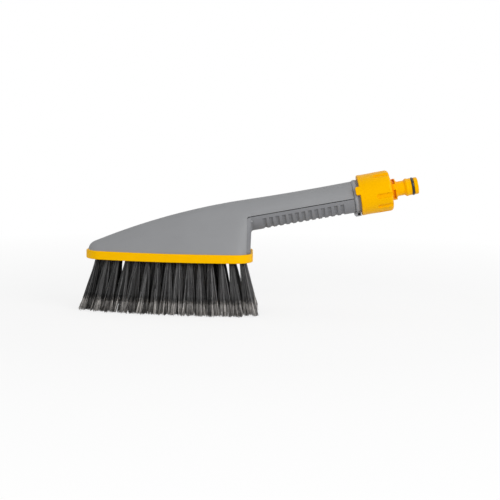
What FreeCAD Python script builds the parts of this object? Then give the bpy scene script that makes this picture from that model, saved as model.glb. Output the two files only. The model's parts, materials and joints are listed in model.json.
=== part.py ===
"""Hose-fed hand wash brush: shells, bumper, tufted brush plate, water path and flow dial.

Working frame: X runs from the front tip of the bumper rim to the hose, Z is up and Z = 0 is the top
of the rim. The pieces round the hose axis are built in an axis frame: its X runs along the handle to
the hose and its origin is where the collar meets the dial. At the end the whole brush is moved, so
that its origin is under the middle of its box, on the surface that the bristle tips stand on.
"""
import FreeCAD, Part
import Sketcher
import math
import os
from FreeCAD import Placement, Rotation, Vector

# Driving sizes in millimetres and degrees: name, value, what it is
SIZES = [
    # plan of the head
    ("head_length", 158.1, "rim, front tip to rear"),
    ("head_half_width", 34.0, "rim, half its width"),
    ("nose_plan_r", 19.0, "radius of the rim's nose"),
    ("corner_plan_r", 18.5, "radius of the rim's rear corners"),
    ("side_bulge_r", 400.0, "radius of the rim's long sides"),
    ("rim_height", 7.95, "height of the bumper rim"),
    ("rim_wall", 2.2, "thickness of the bumper rim"),
    ("rim_lip", 1.2, "thickness of the lip under the skirt"),
    ("rim_edge_r", 0.9, "rounding of the rim's outer edges"),
    ("rim_step", 1.9, "how far the rim stands proud of the shell"),
    # side profile of the shells
    ("shell_wall", 2.4, "wall of the shells"),
    ("back_joint_x", 149.9, "where the head's arched back runs into the handle's"),
    ("back_joint_z", 49.15, "height of the back there"),
    ("back_slope", 9.43, "slope of the back there, degrees"),
    ("head_arc_r", 623.0, "radius of the arch in front of it"),
    ("handle_arc_r", 2380.0, "radius of the hollow behind it"),
    ("nose_round", 5.2, "length of the rounding at the nose"),
    ("nose_ridge_r", 5.0, "radius of the back at the nose"),
    ("side_wall_r", 300.0, "radius of the head's side walls"),
    ("rear_draft", 1.7, "lean of the head's rear wall, degrees"),
    ("tail_depth", 3.9, "depth of the grip shell behind the head's parting line"),
    ("tail_corner", 1.0, "bevel at the corner of the parting line"),
    ("parting_drop", 1.35, "parting line below the hose axis"),
    ("seam_gap", 0.65, "gap in the handle's parting line"),
    ("tail_gap", 0.12, "gap in the head's parting line"),
    ("blend_step", 0.04, "step where the handle and the skirt run into the head"),
    ("inner_step", 0.15, "the same step on the inside of the shells"),
    ("inner_overlap", 1.0, "how far the handle's hollow starts inside the head's"),
    ("grip_fillet", 2.2, "rounding between the grip and the head's rear wall"),
    # handle
    ("tilt", 10.8, "hose axis above the horizontal, degrees"),
    ("axis_x", 257.2, "where the hose axis meets the collar, along the brush"),
    ("axis_z", 54.68, "the same point above the rim"),
    ("belly_drop", 15.7, "underside of the handle below the hose axis"),
    ("rib_count", 13, "grooves across the grip"),
    ("rib_pitch", 6.15, "from groove to groove"),
    ("rib_last", 17.8, "last groove before the hose axis's origin"),
    ("rib_groove_r", 2.0, "radius of a groove"),
    ("rib_depth", 1.1, "depth of a groove"),
    ("rib_margin", 15.5, "grooves end this far below the sides, degrees"),
    ("grip_pin_r", 0.95, "radius of the grip pins"),
    ("grip_pin_x", 0.1, "grip pins behind the head's rear wall"),
    ("grip_pin_drop", 4.2, "grip pins below the parting line"),
    ("grip_pin_sunk", 0.15, "grip pins below the grip's surface"),
    ("ear_thick", 1.8, "thickness of the ears that the grip pins enter"),
    ("ear_length", 5.0, "length of those ears"),
    ("ear_below", 1.8, "ears below the middle of a pin"),
    # brush plate and tufts
    ("plate_thick", 6.0, "thickness of the brush plate"),
    ("plate_rise", 0.5, "plate's underside above the rim's"),
    ("tuft_columns", 15, "columns of tufts from nose to rear"),
    ("tuft_front", 11.6, "front column from the front tip"),
    ("tuft_rear", 10.2, "rear column before the rim's rear"),
    ("tuft_stagger", 0.5, "every second tuft stands this share of the spacing forward"),
    ("tuft_even_columns", 2, "rear columns that stand in line"),
    ("tuft_row_pitch", 8.5, "least spacing of tufts across the plate"),
    ("tuft_edge", 1.0, "land between a tuft hole and the plate's edge"),
    ("tuft_hole_r", 2.5, "radius of a tuft hole"),
    ("tuft_hole_depth", 4.5, "depth of a tuft hole"),
    ("tuft_tip_r", 5.2, "radius of a tuft at its tip"),
    ("tuft_free", 49.3, "free length of the bristles below the rim"),
    ("lean_front", 13.5, "lean of the front column, degrees"),
    ("lean_rear", 9.0, "lean of the rear column, degrees"),
    ("lean_side", 12.0, "lean of the outermost rows, degrees"),
    ("lean_none_x", 108.0, "where the columns stand upright"),
    ("anchor_thick", 0.5, "thickness of a tuft's anchor strip"),
    ("anchor_height", 1.6, "height of a tuft's anchor strip"),
    ("anchor_length", 4.2, "length of a tuft's anchor strip"),
    # plate screws and their bosses
    ("screw_r", 1.25, "radius of the plate screws"),
    ("screw_head_r", 2.6, "radius of their heads"),
    ("screw_head_depth", 2.0, "depth of the room for a head"),
    ("screw_bite", 9.0, "length of a screw inside its boss"),
    ("screw_slot", 0.7, "width of a screw's slot"),
    ("screw_slot_depth", 0.9, "depth of a screw's slot"),
    ("boss_r", 3.4, "radius of a screw boss"),
    # spray rose, elbow and feed tube
    ("rose_x", 98.0, "spray rose from the front tip"),
    ("rose_r", 8.0, "radius of the rose"),
    ("rose_face", 1.6, "thickness of the rose's face"),
    ("rose_neck_r", 6.0, "radius of the rose's neck"),
    ("jet_r", 0.7, "radius of a jet"),
    ("jet_ring_r", 3.0, "radius of the ring of jets"),
    ("jet_count", 6, "jets round the middle one"),
    ("duct_r", 3.8, "bore of the water path"),
    ("duct_wall", 1.4, "wall of the elbow and barbs"),
    ("elbow_bend_r", 12.0, "bend of the outlet elbow"),
    ("elbow_flange_r", 12.0, "radius of the elbow's flange"),
    ("elbow_flange", 2.2, "thickness of the elbow's flange"),
    ("elbow_screw_r", 0.9, "radius of the elbow's screws"),
    ("elbow_screw_ring", 9.6, "elbow's screws from its middle"),
    ("elbow_bite", 3.0, "length of an elbow screw inside the plate"),
    ("seal_wire_r", 0.9, "section radius of the outlet seal"),
    ("tube_wall", 1.5, "wall of the feed tube"),
    ("tube_overlap", 11.0, "length of tube pushed over a barb"),
    ("tube_room", 2.4, "space round the feed tube in the collar"),
    ("tube_short", 1.0, "feed tube ends this far before the valve's shoulder"),
    ("barb_bare", 2.0, "bare length of the elbow's barb"),
    ("clip_width", 6.0, "width of a hose clip"),
    ("clip_thick", 0.9, "thickness of a hose clip"),
    ("clip_mouth", 1.6, "opening between a clip's ears"),
    ("clip_ear", 2.2, "height of a clip's ears"),
    ("clip_gap", 1.5, "space between the collar's sleeve and the rear clip"),
    # collar
    ("collar_r", 15.35, "radius of the collar's flange"),
    ("collar_back", 5.8, "flange's face against the shells, before the origin"),
    ("collar_flange", 4.0, "thickness of the flange"),
    ("collar_bevel", 1.9, "length of the bevel on the flange's brush side"),
    ("collar_bevel_rise", 1.15, "height of that bevel"),
    ("collar_neck_r", 15.0, "radius of the neck behind the dial"),
    ("collar_sleeve", 10.5, "length of the sleeve inside the shells"),
    ("snap_rise", 0.9, "height of the snap ridge that holds the dial"),
    ("snap_start", 1.8, "start of the snap ridge"),
    ("snap_width", 1.7, "width of the snap ridge"),
    ("lug_width", 8.0, "width of the stop lug"),
    ("lug_r", 19.0, "reach of the stop lug"),
    ("lug_start", 6.75, "stop lug's brush side, before the origin"),
    ("lug_end", 0.6, "stop lug's hose side, before the origin"),
    ("lug_bevel", 1.1, "bevel at the lug's outer corner"),
    ("lug_slot", 2.3, "square pocket in the stop lug"),
    ("lug_skin", 0.9, "walls of that pocket"),
    # dial
    ("dial_start", 0.3, "dial's left rim"),
    ("dial_length", 30.15, "length of the dial"),
    ("dial_r", 19.2, "radius of the dial's hose end"),
    ("dial_waist_r", 19.03, "radius behind the left rim"),
    ("dial_rim_r", 19.12, "radius of the left rim"),
    ("dial_rim_width", 3.7, "width of the left rim"),
    ("dial_rim_bevel", 0.5, "bevel of the left rim"),
    ("dial_full", 17.5, "where the dial reaches its full radius, from its left rim"),
    ("dial_wall", 2.8, "wall of the dial"),
    ("dial_end_wall", 3.2, "end wall of the dial"),
    ("dial_edge_r", 3.0, "rounding of the dial's hose end"),
    ("dial_lip", 1.2, "thickness of the lip behind the snap ridge"),
    ("lip_gap", 0.3, "gap between that lip and the collar's neck"),
    ("sleeve_wall", 2.5, "wall of the cam sleeve inside the dial"),
    ("sleeve_start", 5.4, "start of the cam sleeve"),
    ("slot_ease", 0.03, "extra half width of the cam slots"),
    ("flute_r", 2.6, "radius of the grip flutes"),
    ("flute_depth", 1.5, "depth of the grip flutes"),
    ("flute_length", 13.0, "length of the grip flutes"),
    ("flute_places", 11, "places for flutes round the dial, one left bare at the tab"),
    ("flute_start", 25.4, "middle of the bare place above the near side, degrees"),
    ("tab_angle", 19.0, "pointer tab above the near side, degrees"),
    ("tab_width", 7.85, "width of the pointer tab"),
    ("tab_reach", 3.8, "how far the tab stands out towards the brush"),
    ("tab_thick", 3.0, "thickness of the pointer tab"),
    ("tab_corner_r", 1.7, "rounding of the tab's free corners"),
    # valve
    ("dial_travel", 75.0, "turn from shut to open, degrees"),
    ("shuttle_travel", 4.0, "slide of the shuttle over that turn"),
    ("barrel_r", 11.0, "radius of the valve barrel"),
    ("barrel_end", 26.8, "end of the valve barrel"),
    ("outlet_r", 9.3, "radius of the barrel's outlet neck"),
    ("outlet_end", 30.6, "end of the outlet neck"),
    ("insert_r", 9.4, "radius of the barrel inside the collar"),
    ("insert_start", -3.1, "start of the barrel inside the collar"),
    ("insert_end", 4.8, "shoulder of the barrel against the collar"),
    ("piston_r", 7.2, "radius of the valve bore"),
    ("seat_face", 1.0, "face of the rubber seat"),
    ("seat_thick", 1.6, "thickness of the rubber seat"),
    ("seat_r", 6.0, "outer radius of the rubber seat"),
    ("seat_hole_r", 3.6, "hole of the rubber seat"),
    ("plug_start", 26.3, "start of the socket for the spigot's plug"),
    ("plug_r", 7.8, "radius of the spigot's plug"),
    ("barb_length", 24.0, "length of the barb on the valve body"),
    ("cone_bite", 1.3, "how far the shut shuttle's cone reaches into the seat"),
    ("shuttle_length", 22.3, "length of the shuttle"),
    ("shuttle_nose", 2.5, "length of the shuttle's cone"),
    ("shuttle_nose_r", 2.6, "radius of the cone's tip"),
    ("shuttle_stem_r", 4.4, "radius of the stem behind the cone"),
    ("shuttle_head", 5.2, "start of the shuttle's full radius"),
    ("shuttle_bore_r", 3.1, "bore of the shuttle"),
    ("shuttle_web", 0.5, "wall between the cone and the bore"),
    ("port_r", 1.15, "radius of the shuttle's ports"),
    ("ring_wire_r", 0.85, "section radius of the shuttle's rings"),
    ("ring_gap", 0.02, "gap between a shuttle ring and the valve bore"),
    ("ring_front", 7.0, "front ring from the shuttle's tip"),
    ("ring_rear", 20.6, "rear ring from the shuttle's tip"),
    ("pin_r", 1.5, "radius of the cam pins"),
    ("pin_place", 13.9, "cam pins from the shuttle's tip"),
    ("pin_web", 0.6, "material between the shuttle's bore and a cam pin"),
    ("pin_short", 0.3, "cam pins end this far inside the cam sleeve's outside"),
    # spigot
    ("base_start", 30.9, "base ring of the spigot"),
    ("base_r", 10.0, "radius of the base ring"),
    ("base_width", 4.4, "width of the base ring"),
    ("base_pockets", 4, "pockets round the base ring"),
    ("pocket_angle", -25.5, "middle of the near pocket above the near side, degrees"),
    ("pocket_span", 57.0, "length of a pocket, degrees"),
    ("pocket_width", 2.1, "width of a pocket"),
    ("pocket_rim", 1.0, "land between a pocket and the base ring's hose side"),
    ("pocket_depth", 1.8, "depth of a pocket"),
    ("neck_r", 6.9, "radius of the spigot's neck"),
    ("neck_fillet", 2.5, "rounding between the neck and the base ring"),
    ("neck_end", 42.9, "end of the neck"),
    ("latch_r", 8.35, "radius of the latch ridge"),
    ("latch_width", 0.9, "width of the latch ridge"),
    ("latch_lead", 2.0, "length of the slope up to the latch ridge"),
    ("latch_fall", 1.4, "length of the slope behind it"),
    ("nose_r", 7.95, "radius of the spigot's nose"),
    ("nose_end", 56.3, "end of the spigot"),
    ("nose_end_r", 1.2, "rounding at the end of the nose"),
    ("spigot_bore_r", 5.2, "bore of the spigot"),
    ("nose_ring_at", 51.2, "middle of the ring on the nose"),
    ("nose_ring_r", 1.3, "section radius of the ring on the nose"),
    ("nose_ring_proud", 0.5, "how far that ring stands proud"),
    ("filter_seat", 37.0, "ledge that the inlet filter rests on"),
    ("filter_ledge", 0.6, "width of that ledge"),
    ("filter_length", 10.0, "length of the inlet filter"),
    ("filter_wall", 0.6, "wall of the inlet filter"),
    ("filter_rim", 1.0, "length of the filter's rim"),
    ("filter_room", 0.9, "space round the filter's cup at its open end"),
    ("filter_end_room", 1.6, "space round the filter's cup at its closed end"),
    # fits
    ("fit_gap", 0.1, "gap between pieces that are fixed together"),
    ("run_gap", 0.09, "running gap between pieces that move on each other"),
    ("press_gap", 0.02, "gap round a pin or ring that is pressed in"),
    ("thread_gap", 0.03, "gap round the thread of a screw"),
]

# Plate screws: the column, and the row from the middle, of the tuft that each one replaces
PLATE_SCREWS = [(3, 0), (6, 0), (12, -2), (12, 2)]


class Size:
    """A number together with the expression that gives it from the sheet."""

    def __init__(self, number, text):
        self.number = number
        self.text = text

    def joined(self, other, number, sign, swap=False):
        other_text = other.text if isinstance(other, Size) else repr(other)
        first, second = (other_text, self.text) if swap else (self.text, other_text)
        return Size(number, "(" + first + " " + sign + " " + second + ")")

    def __add__(self, other):
        return self.joined(other, self.number + plain(other), "+")

    def __radd__(self, other):
        return self.joined(other, plain(other) + self.number, "+", swap=True)

    def __sub__(self, other):
        return self.joined(other, self.number - plain(other), "-")

    def __rsub__(self, other):
        return self.joined(other, plain(other) - self.number, "-", swap=True)

    def __mul__(self, other):
        return self.joined(other, self.number * plain(other), "*")

    def __rmul__(self, other):
        return self.joined(other, plain(other) * self.number, "*", swap=True)

    def __truediv__(self, other):
        return self.joined(other, self.number / plain(other), "/")


def plain(value):
    """The bare number of a Size or a number."""
    return value.number if isinstance(value, Size) else value


class Sheet:
    """Reads the driving sizes back from the spreadsheet, by name."""

    def __init__(self, sheet):
        self.sheet = sheet

    def __getattr__(self, name):
        return Size(float(self.sheet.get(name)), "<<dims>>." + name)


doc = FreeCAD.newDocument("wash_brush")
sheet = doc.addObject("Spreadsheet::Sheet", "dims")
sheet.Label = "dims"
for row, (name, value, meaning) in enumerate(SIZES, start=1):
    sheet.set("A" + str(row), meaning)
    sheet.set("B" + str(row), str(value))
    sheet.setAlias("B" + str(row), name)
doc.recompute()
d = Sheet(sheet)

X_AXIS = Vector(1, 0, 0)
Y_AXIS = Vector(0, 1, 0)
Z_AXIS = Vector(0, 0, 1)
NO_TURN = Rotation()
ALONG_X = Rotation(Y_AXIS, 90)
FAR = 400.0  # longer than the brush, for tools that cut right through
OVER = 1.0  # how far a cutting tool runs past what it cuts

nodes = {}


def add(kind, name, place=None, **values):
    """A document object whose properties are bound to the sheet where they are Sizes."""
    item = doc.addObject(kind, name)
    for key, value in values.items():
        if isinstance(value, Size):
            item.setExpression(key, value.text)
        else:
            setattr(item, key, value)
    if place:
        item.Placement = place
    return item


def held(name, shape):
    """A document object for a shape that only Part's own functions give."""
    item = doc.addObject("Part::Feature", name)
    item.Shape = shape
    return item


def fused(name, items):
    return add("Part::MultiFuse", name, Shapes=items)


def cut(name, base, tools):
    tool = tools[0] if len(tools) == 1 else fused(name + "_tools", tools)
    return add("Part::Cut", name, Base=base, Tool=tool)


def grouped(name, items):
    return add("Part::Compound", name, Links=items)


def node(name, item, place=None):
    """Names a sub-part and puts it in its place in the working frame."""
    item.Label = name
    nodes[name] = item
    if place:
        item.Placement = place.multiply(item.Placement)
    return item


def turned(name, points):
    """A body turned about X from a closed outline of (along, radius) corners."""
    body = doc.addObject("PartDesign::Body", name)
    sketch = body.newObject("Sketcher::SketchObject", name + "_outline")
    plane = [item for item in body.Origin.OriginFeatures if item.Role == "XZ_Plane"][0]
    sketch.AttachmentSupport = [(plane, "")]
    sketch.MapMode = "FlatFace"
    corners = [Vector(plain(along), plain(radius), 0) for along, radius in points]
    count = len(corners)
    for index in range(count):
        sketch.addGeometry(Part.LineSegment(corners[index], corners[(index + 1) % count]), False)
    for index in range(count):
        sketch.addConstraint(Sketcher.Constraint("Coincident", index, 2, (index + 1) % count, 1))
    for index, (along, radius) in enumerate(points):
        for kind, value in (("DistanceX", along), ("DistanceY", radius)):
            if abs(plain(value)) < 1e-9 and not isinstance(value, Size):
                line = -2 if kind == "DistanceX" else -1
                sketch.addConstraint(Sketcher.Constraint("PointOnObject", index, 1, line))
                continue
            rule = sketch.addConstraint(Sketcher.Constraint(kind, -1, 1, index, 1, plain(value)))
            if isinstance(value, Size):
                sketch.setExpression("Constraints[" + str(rule) + "]", value.text)
    turn = body.newObject("PartDesign::Revolution", name + "_turn")
    turn.Profile = sketch
    turn.ReferenceAxis = (sketch, ["H_Axis"])
    turn.Angle = 360
    return body


def in_axis_frame():
    """From the axis frame to the working frame."""
    origin = Vector(plain(d.axis_x), 0, plain(d.axis_z))
    return Placement(origin, Rotation(Y_AXIS, -plain(d.tilt)))


def hose_axis_z(x):
    """Height of the hose axis at x in the working frame."""
    return plain(d.axis_z) + (x - plain(d.axis_x)) * math.tan(math.radians(plain(d.tilt)))


def axis_along(x):
    """Distance along the hose axis, in the axis frame, of its point at x."""
    return (x - plain(d.axis_x)) / math.cos(math.radians(plain(d.tilt)))


# Plan of the head


def side_arc_centre():
    """Centre of the long side arc, which touches the nose and the corner arcs from outside."""
    nose_r = plain(d.nose_plan_r)
    corner_r = plain(d.corner_plan_r)
    nose = Vector(nose_r, 0, 0)
    corner = Vector(plain(d.head_length) - corner_r, plain(d.head_half_width) - corner_r, 0)
    to_nose = plain(d.side_bulge_r) - nose_r
    to_corner = plain(d.side_bulge_r) - corner_r
    span = corner - nose
    along = (to_nose ** 2 - to_corner ** 2 + span.Length ** 2) / (2 * span.Length)
    off = math.sqrt(to_nose ** 2 - along ** 2)
    unit = Vector(span).normalize()
    normal = Vector(unit.y, -unit.x, 0)
    return nose + unit * along + normal * off, nose, corner


def plan_joints(inset):
    """Where the nose, side and corner arcs meet, for an outline inset from the rim's."""
    centre, nose, corner = side_arc_centre()
    first = nose + (nose - centre).normalize() * (plain(d.nose_plan_r) - inset)
    second = corner + (corner - centre).normalize() * (plain(d.corner_plan_r) - inset)
    return first, second


def half_width(x, inset):
    """Half the head's width at x, for an outline inset from the rim's."""
    centre, nose, corner = side_arc_centre()
    first, second = plan_joints(inset)
    if x < first.x:
        radius = plain(d.nose_plan_r) - inset
        return math.sqrt(max(radius ** 2 - (x - nose.x) ** 2, 0))
    if x < second.x:
        radius = plain(d.side_bulge_r) - inset
        return centre.y + math.sqrt(radius ** 2 - (x - centre.x) ** 2)
    radius = plain(d.corner_plan_r) - inset
    return corner.y + math.sqrt(max(radius ** 2 - (x - corner.x) ** 2, 0))


def plan_prism(inset, low, high):
    """The head's outline, inset from the rim's, raised from low to high."""
    centre, nose, corner = side_arc_centre()
    first, second = plan_joints(inset)
    rear = plain(d.head_length) - inset
    middle_x = (first.x + second.x) / 2
    corner_r = plain(d.corner_plan_r) - inset
    corner_mid = corner + Vector(math.sin(math.radians(50)), math.cos(math.radians(50)), 0) * corner_r

    def at(x, y):
        return Vector(x, y, low)

    side_y = half_width(middle_x, inset)
    edges = [
        Part.Arc(at(first.x, -first.y), at(inset, 0), at(first.x, first.y)),
        Part.Arc(at(first.x, first.y), at(middle_x, side_y), at(second.x, second.y)),
        Part.Arc(at(second.x, second.y), at(corner_mid.x, corner_mid.y), at(rear, corner.y)),
        Part.LineSegment(at(rear, corner.y), at(rear, -corner.y)),
        Part.Arc(at(rear, -corner.y), at(corner_mid.x, -corner_mid.y), at(second.x, -second.y)),
        Part.Arc(at(second.x, -second.y), at(middle_x, -side_y), at(first.x, -first.y)),
    ]
    wire = Part.Wire([edge.toShape() for edge in edges])
    return Part.Face(wire).extrude(Vector(0, 0, high - low))


# Side profile and cross-sections of the head


def back_height(x):
    """Height of the back over the middle plane: an arch over the head, then a slight hollow."""
    slope = math.radians(plain(d.back_slope))
    joint_x = plain(d.back_joint_x)
    side = 1 if x < joint_x else -1
    radius = plain(d.head_arc_r if x < joint_x else d.handle_arc_r)
    centre_x = joint_x + side * radius * math.sin(slope)
    centre_z = plain(d.back_joint_z) - side * radius * math.cos(slope)
    return centre_z + side * math.sqrt(radius ** 2 - (x - centre_x) ** 2)


def handle_middle(x):
    """Height of the middle of the handle's round section at x."""
    return (back_height(x) + hose_axis_z(x) - plain(d.belly_drop)) / 2


def handle_radius(x):
    """Radius of the handle's round section at x."""
    return back_height(x) - handle_middle(x)


def section_height(x, inset):
    """Height of the section at x, rounded down to nothing at the nose."""
    depth = inset - plain(d.rim_step)
    full = back_height(x) - depth
    start = back_height(inset) - depth
    part = (inset + plain(d.nose_round) - x) / plain(d.nose_round)
    if part <= 0:
        return full
    return full - start * (1 - math.sqrt(max(1 - part ** 2, 0)))


def section(x, inset):
    """The arched section at x: side walls that run into a round back."""
    width = half_width(x, inset)
    height = section_height(x, inset)
    length = plain(d.head_length)
    share = (x - inset) / (length - 2 * inset)
    nose_r = plain(d.nose_ridge_r)
    round_r = nose_r + (handle_radius(length - inset) - nose_r) * share - (inset - plain(d.rim_step))
    if x < length / 2:
        round_r = min(round_r, 0.8 * height, 0.8 * width)
    wall_r = plain(d.side_wall_r)
    top = Vector(x, 0, height - round_r)
    foot = Vector(x, width, 0)
    span = top - foot
    along = (wall_r ** 2 - (wall_r - round_r) ** 2 + span.Length ** 2) / (2 * span.Length)
    off = math.sqrt(wall_r ** 2 - along ** 2)
    unit = Vector(span).normalize()
    centre = foot + unit * along + Vector(0, -unit.z, unit.y) * off
    join = top + (top - centre).normalize() * round_r
    halfway = ((foot - centre).normalize() + (join - centre).normalize()).normalize()
    bulge = centre + halfway * wall_r

    def other(point):
        return Vector(point.x, -point.y, point.z)

    edges = [
        Part.Arc(foot, bulge, join),
        Part.Arc(join, Vector(x, 0, height), other(join)),
        Part.Arc(other(join), other(bulge), other(foot)),
        Part.LineSegment(other(foot), foot),
    ]
    return Part.Wire([edge.toShape() for edge in edges])


def head_form(inset):
    """The head's solid, inset from the rim's outline, from the nose to its rear wall."""
    nose_r = plain(d.nose_plan_r)
    corner_r = plain(d.corner_plan_r)
    rear_centre = plain(d.head_length) - corner_r
    nose_angles = (9, 18, 30, 44, 58, 70, 80, 90)
    corner_angles = (0, 18, 34, 48, 60, 70, 79, 90)
    places = [nose_r - (nose_r - inset) * math.cos(math.radians(angle)) for angle in nose_angles]
    steps = 7
    places += [nose_r + (rear_centre - nose_r) * step / steps for step in range(1, steps)]
    places += [rear_centre + (corner_r - inset) * math.sin(math.radians(a)) for a in corner_angles]
    return Part.makeLoft([section(x, inset) for x in places], True, False)


def round_wire(x, z, radius):
    """A circle across the brush, in two halves that meet at its top and bottom."""
    middle = Vector(x, 0, z)
    up, across = Z_AXIS * radius, Y_AXIS * radius
    near = Part.Arc(middle - up, middle - across, middle + up)
    far = Part.Arc(middle + up, middle + across, middle - up)
    return Part.Wire([near.toShape(), far.toShape()])


def handle_form(inset, start_x, end_along):
    """The handle's solid from the plane at start_x to a square end on the hose axis."""
    steps = 5
    beyond_x = plain(d.axis_x) + 2 * plain(d.belly_drop)
    rings = []
    for step in range(steps + 1):
        x = start_x + (beyond_x - start_x) * step / steps
        rings.append(round_wire(x, handle_middle(x), handle_radius(x) - inset))
    bar = Part.makeLoft(rings, True, False)
    end = Part.makeBox(2 * FAR, FAR, FAR, Vector(end_along, -FAR / 2, -FAR / 2))
    end.Placement = in_axis_frame()
    return bar.cut(end)


def fillet_form():
    """The rounding under the grip where it runs into the head's rear wall."""
    round_r = plain(d.grip_fillet)
    rings = []
    for share in (-0.25, 0, 0.12, 0.3, 0.6, 1):  # places along the rounding, as shares of its length
        x = rear_x + share * round_r
        left = round_r * (1 - max(share, 0))
        drop = round_r - math.sqrt(round_r ** 2 - left ** 2)
        rings.append(round_wire(x, handle_middle(x) - drop, handle_radius(x) - 2 * plain(d.blend_step)))
    return Part.makeLoft(rings, True, True)


rim_step = plain(d.rim_step)
shell_inner = rim_step + plain(d.shell_wall)
skirt_outer = plain(d.rim_wall) + plain(d.fit_gap)
skirt_inner = shell_inner + 2 * plain(d.inner_step)
skirt_low = -(plain(d.rim_height) - plain(d.rim_lip) - plain(d.fit_gap))
rear_x = plain(d.head_length) - rim_step
split_x = rear_x - plain(d.tail_depth)
shell_end = -plain(d.collar_back) - plain(d.fit_gap) / 2


def tail_block(rise, ahead):
    """The space of the grip shell: behind the head's parting line and under the handle's."""
    slope = math.tan(math.radians(plain(d.tilt)))
    corner = plain(d.tail_corner)
    front = split_x - ahead
    far_x = split_x + FAR

    def line_z(x):
        return hose_axis_z(x) - plain(d.parting_drop) + rise

    corners = [
        (front, -FAR), (front, line_z(front) - corner), (front + corner, line_z(front) + corner * slope),
        (far_x, line_z(far_x)), (far_x, -FAR),
    ]
    points = [Vector(x, -FAR / 2, z) for x, z in corners]
    return Part.Face(Part.makePolygon(points + points[:1])).extrude(Vector(0, FAR, 0))


# Tuft layout


plate_inset = skirt_inner + plain(d.fit_gap)
plate_low = plain(d.plate_rise) - plain(d.rim_height)
plate_high = plate_low + plain(d.plate_thick)
tip_z = -plain(d.rim_height) - plain(d.tuft_free)


def tuft_places():
    """Root, lean and column of each tuft, and the same for each plate screw."""
    inset = plate_inset + plain(d.tuft_edge) + plain(d.tuft_hole_r)
    first = plain(d.tuft_front)
    last = plain(d.head_length) - plain(d.tuft_rear)
    columns = int(plain(d.tuft_columns))
    pitch = (last - first) / (columns - 1)
    upright = plain(d.lean_none_x)
    widest = plain(d.head_half_width) - inset
    clear = plain(d.rose_r) + plain(d.tuft_hole_r) + plain(d.tuft_edge)
    tufts = []
    screws = []
    for column in range(columns):
        column_x = first + pitch * column
        count = int(2 * half_width(column_x, inset) / plain(d.tuft_row_pitch)) + 1
        taken = [row for place, row in PLATE_SCREWS if place == column]
        if taken and count % 2 == 0:
            count -= 1
        staggered = 0 < column < columns - int(plain(d.tuft_even_columns))
        for place in range(count):
            from_side = min(place, count - 1 - place)
            x = column_x - (pitch * plain(d.tuft_stagger) if staggered and from_side % 2 else 0)
            row = place - (count - 1) / 2
            y = 0.0 if count == 1 else 2 * half_width(x, inset) * row / (count - 1)
            if x < upright:
                lean_x = -plain(d.lean_front) * (upright - x) / (upright - first)
            else:
                lean_x = plain(d.lean_rear) * (x - upright) / (last - upright)
            lean_y = plain(d.lean_side) * y / widest
            entry = (x, y, math.tan(math.radians(lean_x)), math.tan(math.radians(lean_y)), column)
            if row in taken:
                screws.append(entry)
            elif math.hypot(x - plain(d.rose_x), y) > clear:
                tufts.append(entry)
    return tufts, screws


def tip_middle(x, y, run_x, run_y):
    """Middle of a tuft's tips, from its root and lean."""
    drop = plate_low - tip_z
    return Vector(x + run_x * drop, y + run_y * drop, tip_z)


def tip_radius(tuft, tufts):
    """Radius of a tuft's tips: spread as far as its nearest neighbour leaves room for."""
    middle = tip_middle(*tuft[:4])
    others = [tip_middle(*other[:4]) for other in tufts if other is not tuft]
    nearest = min(middle.distanceToPoint(other) for other in others)
    return min(plain(d.tuft_tip_r), (nearest - plain(d.fit_gap)) / 2)


def leaning(x, y, run_x, run_y, stages):
    """A round rod through level circles: stages are (height, radius), from root to tip."""
    rings = []
    for z, radius in stages:
        drop = plate_low - z
        middle = Vector(x + run_x * drop, y + run_y * drop, z)
        rings.append(Part.Wire([Part.Circle(middle, Z_AXIS, radius).toShape()]))
    return Part.makeLoft(rings, True, True)


tufts, screws = tuft_places()
print(len(tufts), "tufts,", len(screws), "plate screws")


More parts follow.
